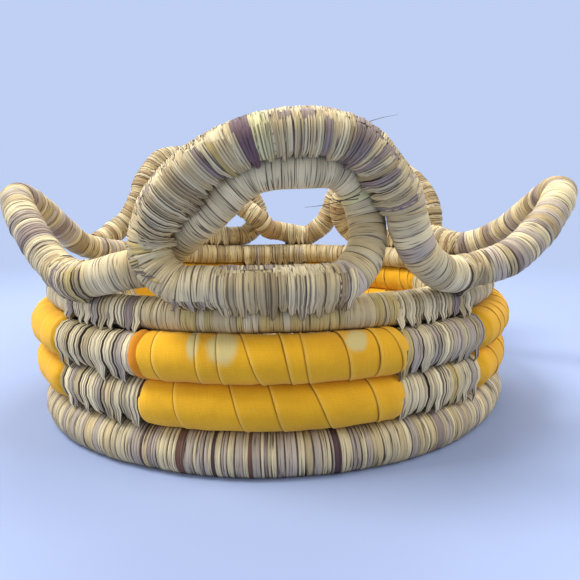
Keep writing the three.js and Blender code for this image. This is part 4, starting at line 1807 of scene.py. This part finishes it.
@dataclass
class Basket:
    """The whole basket: its courses, panels, loops and stitches, in degrees and millimetres.

    Places on the front curl are numbers of its points, as CurlPoint counts them.
    """

    sizes: CoilSizes = CoilSizes()
    panel_names: tuple[str, ...] = ("front", "right", "back_right", "back_left", "left")
    flap: float = 3.4
    floor_start: float = 0.3
    floor_columns: int = 16
    strips_proud: float = -0.2
    rim_proud: float = 0.5
    rim_bare: tuple[float, float] = (334.0, 392.0)
    coil_end_taper: float = 16.0
    dusky: tuple[float, float] = (-12.0, 6.0)
    band_at: float = 20.85
    band_width: float = 4.8
    mauve_at: float = 23.0
    mauve_width: float = 9.0
    course_spacing: float = 4.2
    floor_spacing: float = 6.0
    ring_spacing: float = 2.4
    ring_slack: float = 4.0
    binding_spacing: float = 3.3
    binding_slack: float = 2.6
    ring_bound_at: float = CurlPoint.RING_SEAT + 0.6
    frayed_at: float = 15.4
    frayed_reach: float = 12.0
    frayed_slack: float = 6.0

    def __post_init__(self) -> None:
        """Lays out the coil and the panels, and makes the finishes."""
        self.path = CoilPath(self.sizes, LOOPS)
        self.panels = self._panels()
        self.following = [start for _, start, _ in self.panels[1:]] + [self.panels[0][1] + 360]
        self.leaf = LeafFinish("split_leaf").material()
        self.stitch = LeafFinish("stitch_leaf").material()
        self.cloth = ClothFinish("yellow_cotton").material()
        self.grass = LeafFinish("grass_stems").material()

    def build(self) -> None:
        """Builds every piece."""
        GrassBundle().build(self.path, self.grass)
        self._floor()
        self._wall()
        self._loops()
        self._course_stitches()
        self._loop_stitches()
        self._slivers()

    def _panels(self) -> list[tuple[str, float, float]]:
        """The panels in the order that the coil meets them.

        Returns:
            Each panel's name, and its first and last azimuth.
        """
        climb = self.sizes.climb_azimuth
        found = []
        for order, name in enumerate(self.panel_names):
            azimuth = self.sizes.panel_start + order * 360 / self.sizes.panel_count
            start = (azimuth - climb) % 360 + climb
            found.append((name, start, start + self.sizes.panel_width))
        return sorted(found, key=lambda panel: panel[1])

    def _front(self, number: float) -> float:
        """Length along the coil at a point of the front curl."""
        return self.path.curl_run("front_curl", number)

    def _floor(self) -> None:
        """The knot, the floor and the foot."""
        path = self.path
        knot = KnotSizes().line(path)
        plain = (Zone(0, FLAT, PLAIN),)
        LeafWrap("floor_knot_leaf", "floor_start_knot", 0, knot.end, plain, Seed.KNOT,
                 columns=self.floor_columns).build(knot, self.leaf)
        first = path.run_at(self.sizes.climb_azimuth, Level.FOOT)
        LeafWrap("floor_leaf", "floor_wrap", self.floor_start, first, plain, Seed.FLOOR,
                 columns=self.floor_columns).build(path, self.leaf)
        marked = ((337, 1.9, LeafTone.PURPLE), (344.8, 1.6, LeafTone.RUST), (350.9, 1.5, LeafTone.PURPLE),
                  (357.4, 1.8, LeafTone.RUST), (372.6, 2.2, LeafTone.PURPLE))
        accents = tuple(Accent(path.run_at(azimuth, Level.FOOT), width, tone)
                        for azimuth, width, tone in marked)
        end = path.run_at(self.panels[0][1], Level.SECOND)
        LeafWrap("foot_leaf", "foot_wrap", first, end, (Zone(0, CLOSE, ASHEN),), Seed.FOOT,
                 accents=accents).build(path, self.leaf)

    def _wall(self) -> None:
        """The two patterned courses and the rim."""
        path = self.path
        for course in COURSES:
            word, level = course.name, course.level
            for order, (name, start, end) in enumerate(self.panels):
                flap = self.flap if (level, name) == (Level.THIRD, "front") else 0.0
                ClothPanel(f"{word}_cotton_{name}", f"{word}_cloth_{name}", level, start, end,
                           course.panel_seed + order, course.pitch, flap=flap).build(path, self.cloth)
                if level == Level.THIRD and order + 1 == len(self.panels):
                    continue
                LeafWrap(f"{word}_strips_{name}", f"{word}_leaf_{name}", path.run_at(end, level),
                         path.run_at(self.following[order], level), (Zone(0, COARSE, SHADED),),
                         course.strip_seed + order, proud=self.strips_proud).build(path, self.leaf)
        bare_start, bare_end = (path.run_at(azimuth, Level.RIM) for azimuth in self.rim_bare)
        zones = (Zone(bare_start, FINE, LIGHT), Zone(bare_end, SMOOTH, BROAD), Zone(0, FINE, PLAIN))
        start = path.run_at(self.panels[-1][2], Level.THIRD)
        LeafWrap("rim_leaf", "rim_wrap", start, path.marks["left_arch"], zones, Seed.RIM,
                 proud=self.rim_proud).build(path, self.leaf)

    def _front_accents(self) -> tuple[Accent, ...]:
        """The dark and light strips on the front curl's outer pass.

        Returns:
            The accents.
        """
        band, width = self._front(self.band_at), self.band_width
        return (Accent(band, width, LeafTone.PLUM), Accent(band + width, width, LeafTone.LIME),
                Accent(self._front(self.mauve_at), self.mauve_width, LeafTone.MAUVE))

    def _loops(self) -> None:
        """The five carrying loops."""
        path, at = self.path, self._front
        front = (Zone(at(3), SMOOTH, PALE), Zone(at(10), SMOOTH, FRESH), Zone(at(12.6), BANDED, PALE),
                 Zone(at(24), FINE, PLAIN), Zone(at(28.4), BANDED, PALE), Zone(0, COARSE, GREYED))
        crest = 0.5 * (path.marks["left_arch"] + path.marks["front_curl"])
        dusky_start, dusky_end = (crest + along for along in self.dusky)
        arch = (Zone(dusky_start, COARSE, GREYED), Zone(dusky_end, COARSE, DUSKY), Zone(0, COARSE, GREYED))
        zones = {"left_arch": arch, "front_curl": front, "right_arch": (Zone(0, COARSE, GREYED),)}
        for order, loop in enumerate(LOOPS):
            last = order + 1 == len(LOOPS)
            end = path.end if last else path.marks[LOOPS[order + 1].name]
            LeafWrap(f"{loop.name}_leaf", f"{loop.name}_wrap", path.marks[loop.name], end,
                     zones.get(loop.name, (Zone(0, COARSE, WARM),)), Seed.LOOPS + order,
                     accents=self._front_accents() if loop.name == "front_curl" else (),
                     end_taper=self.coil_end_taper if last else 0.0).build(path, self.leaf)

    def _course_stitches(self) -> None:
        """The stitches between courses and between the floor's turns."""
        plan = StitchPlan(self.path, Seed.COURSE_PLAN)
        courses = {course.level: course.name for course in COURSES}
        courses[Level.RIM] = "rim"
        for level, word in courses.items():
            crossings = []
            for (_, _, end), following in zip(self.panels, self.following):
                for inside in (False, True):
                    crossings += plan.courses(level, end, following, self.course_spacing, inside)
            StitchRow(f"{word}_stitches", Seed.COURSE_STITCHES + level, LIGHT).build(crossings, self.stitch)
        row = StitchRow("floor_stitches", Seed.FLOOR_STITCHES, PLAIN, start_angle=-15, tip_angle=44,
                        height=0.5)
        row.build(plan.floor(self.floor_spacing), self.stitch)

    def _loop_stitches(self) -> None:
        """The stitches round the curls and where the loops are bound to the rim."""
        path, plan = self.path, StitchPlan(self.path, Seed.LOOP_PLAN)
        curls = [loop for loop in LOOPS if loop.centre is not None]
        for order, loop in enumerate(curls):
            front = loop.name == "front_curl"
            row = StitchRow(f"{loop.name}_stitches", Seed.RING_STITCHES + order, PLAIN if front else WARM,
                            width=2.8, tip_angle=61, accents=self._front_accents() if front else ())
            row.build(plan.rings(loop, self.ring_spacing, self.ring_slack), self.stitch)
        ring = {loop.name: path.curl_run(loop.name, self.ring_bound_at) for loop in curls}
        bindings = (
            ("binding_left_front", path.marks["front_curl"] - 15, 17.0, 57.0, PLAIN),
            ("binding_front_ring", ring["front_curl"], 24.0, 40.0, PLAIN),
            ("binding_right_front", path.marks["right_arch"] + 7, 13.0, 57.0, PLAIN),
            ("binding_right_back", path.marks["back_right_curl"], 20.0, 57.0, WARM),
            ("binding_back_right_ring", ring["back_right_curl"], 20.0, 57.0, WARM),
            ("binding_back", path.marks["back_left_curl"], 20.0, 57.0, WARM),
            ("binding_back_left_ring", ring["back_left_curl"], 20.0, 57.0, WARM),
        )
        for order, (node, middle, reach, tip, tones) in enumerate(bindings):
            row = StitchRow(f"{node}_stitches", Seed.BINDINGS + order, tones, width=4.1, tip_angle=tip)
            row.build(plan.seats(middle, reach, self.binding_spacing, self.binding_slack), self.stitch, node)
        row = StitchRow("front_ring_frayed_ends", Seed.FRAYED_ENDS, GREYED, width=1.7, ribs=2, start_angle=5,
                        fray=2.0)
        row.build(plan.seats(self._front(self.frayed_at), self.frayed_reach, self.ring_spacing,
                             self.frayed_slack), self.stitch)

    def _slivers(self) -> None:
        """Loose fibres that stand off the front curl."""
        slivers = (Sliver((33.5, -117, 102.4), (14.8, -120, 98.4), 0.8, 0.22),
                   Sliver((33, -117.5, 101), (21, -121, 101.2), 0.5, 0.18),
                   Sliver((34, -116.5, 125.4), (45.8, -118, 128.2), -0.4, 0.14))
        patches = [sliver.patch(LeafTone.PURPLE) for sliver in slivers]
        settle(mesh_object("front_curl_slivers", patches, closed=True), self.leaf, "leaf")


def write_sizes() -> None:
    """Measures the solids' box and the dressed basket's box, in metres."""
    boxes = {"cad": CAD_BOX, "visual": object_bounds()}
    lists = {name: [[float(x) for x in corner] for corner in box] for name, box in boxes.items()}


def main() -> None:
    """Builds the studio and the basket."""
    logging.basicConfig(level=logging.INFO, format="%(message)s")
    Studio().build()
    Basket().build()
    write_sizes()


if __name__ == "__main__":
    main()
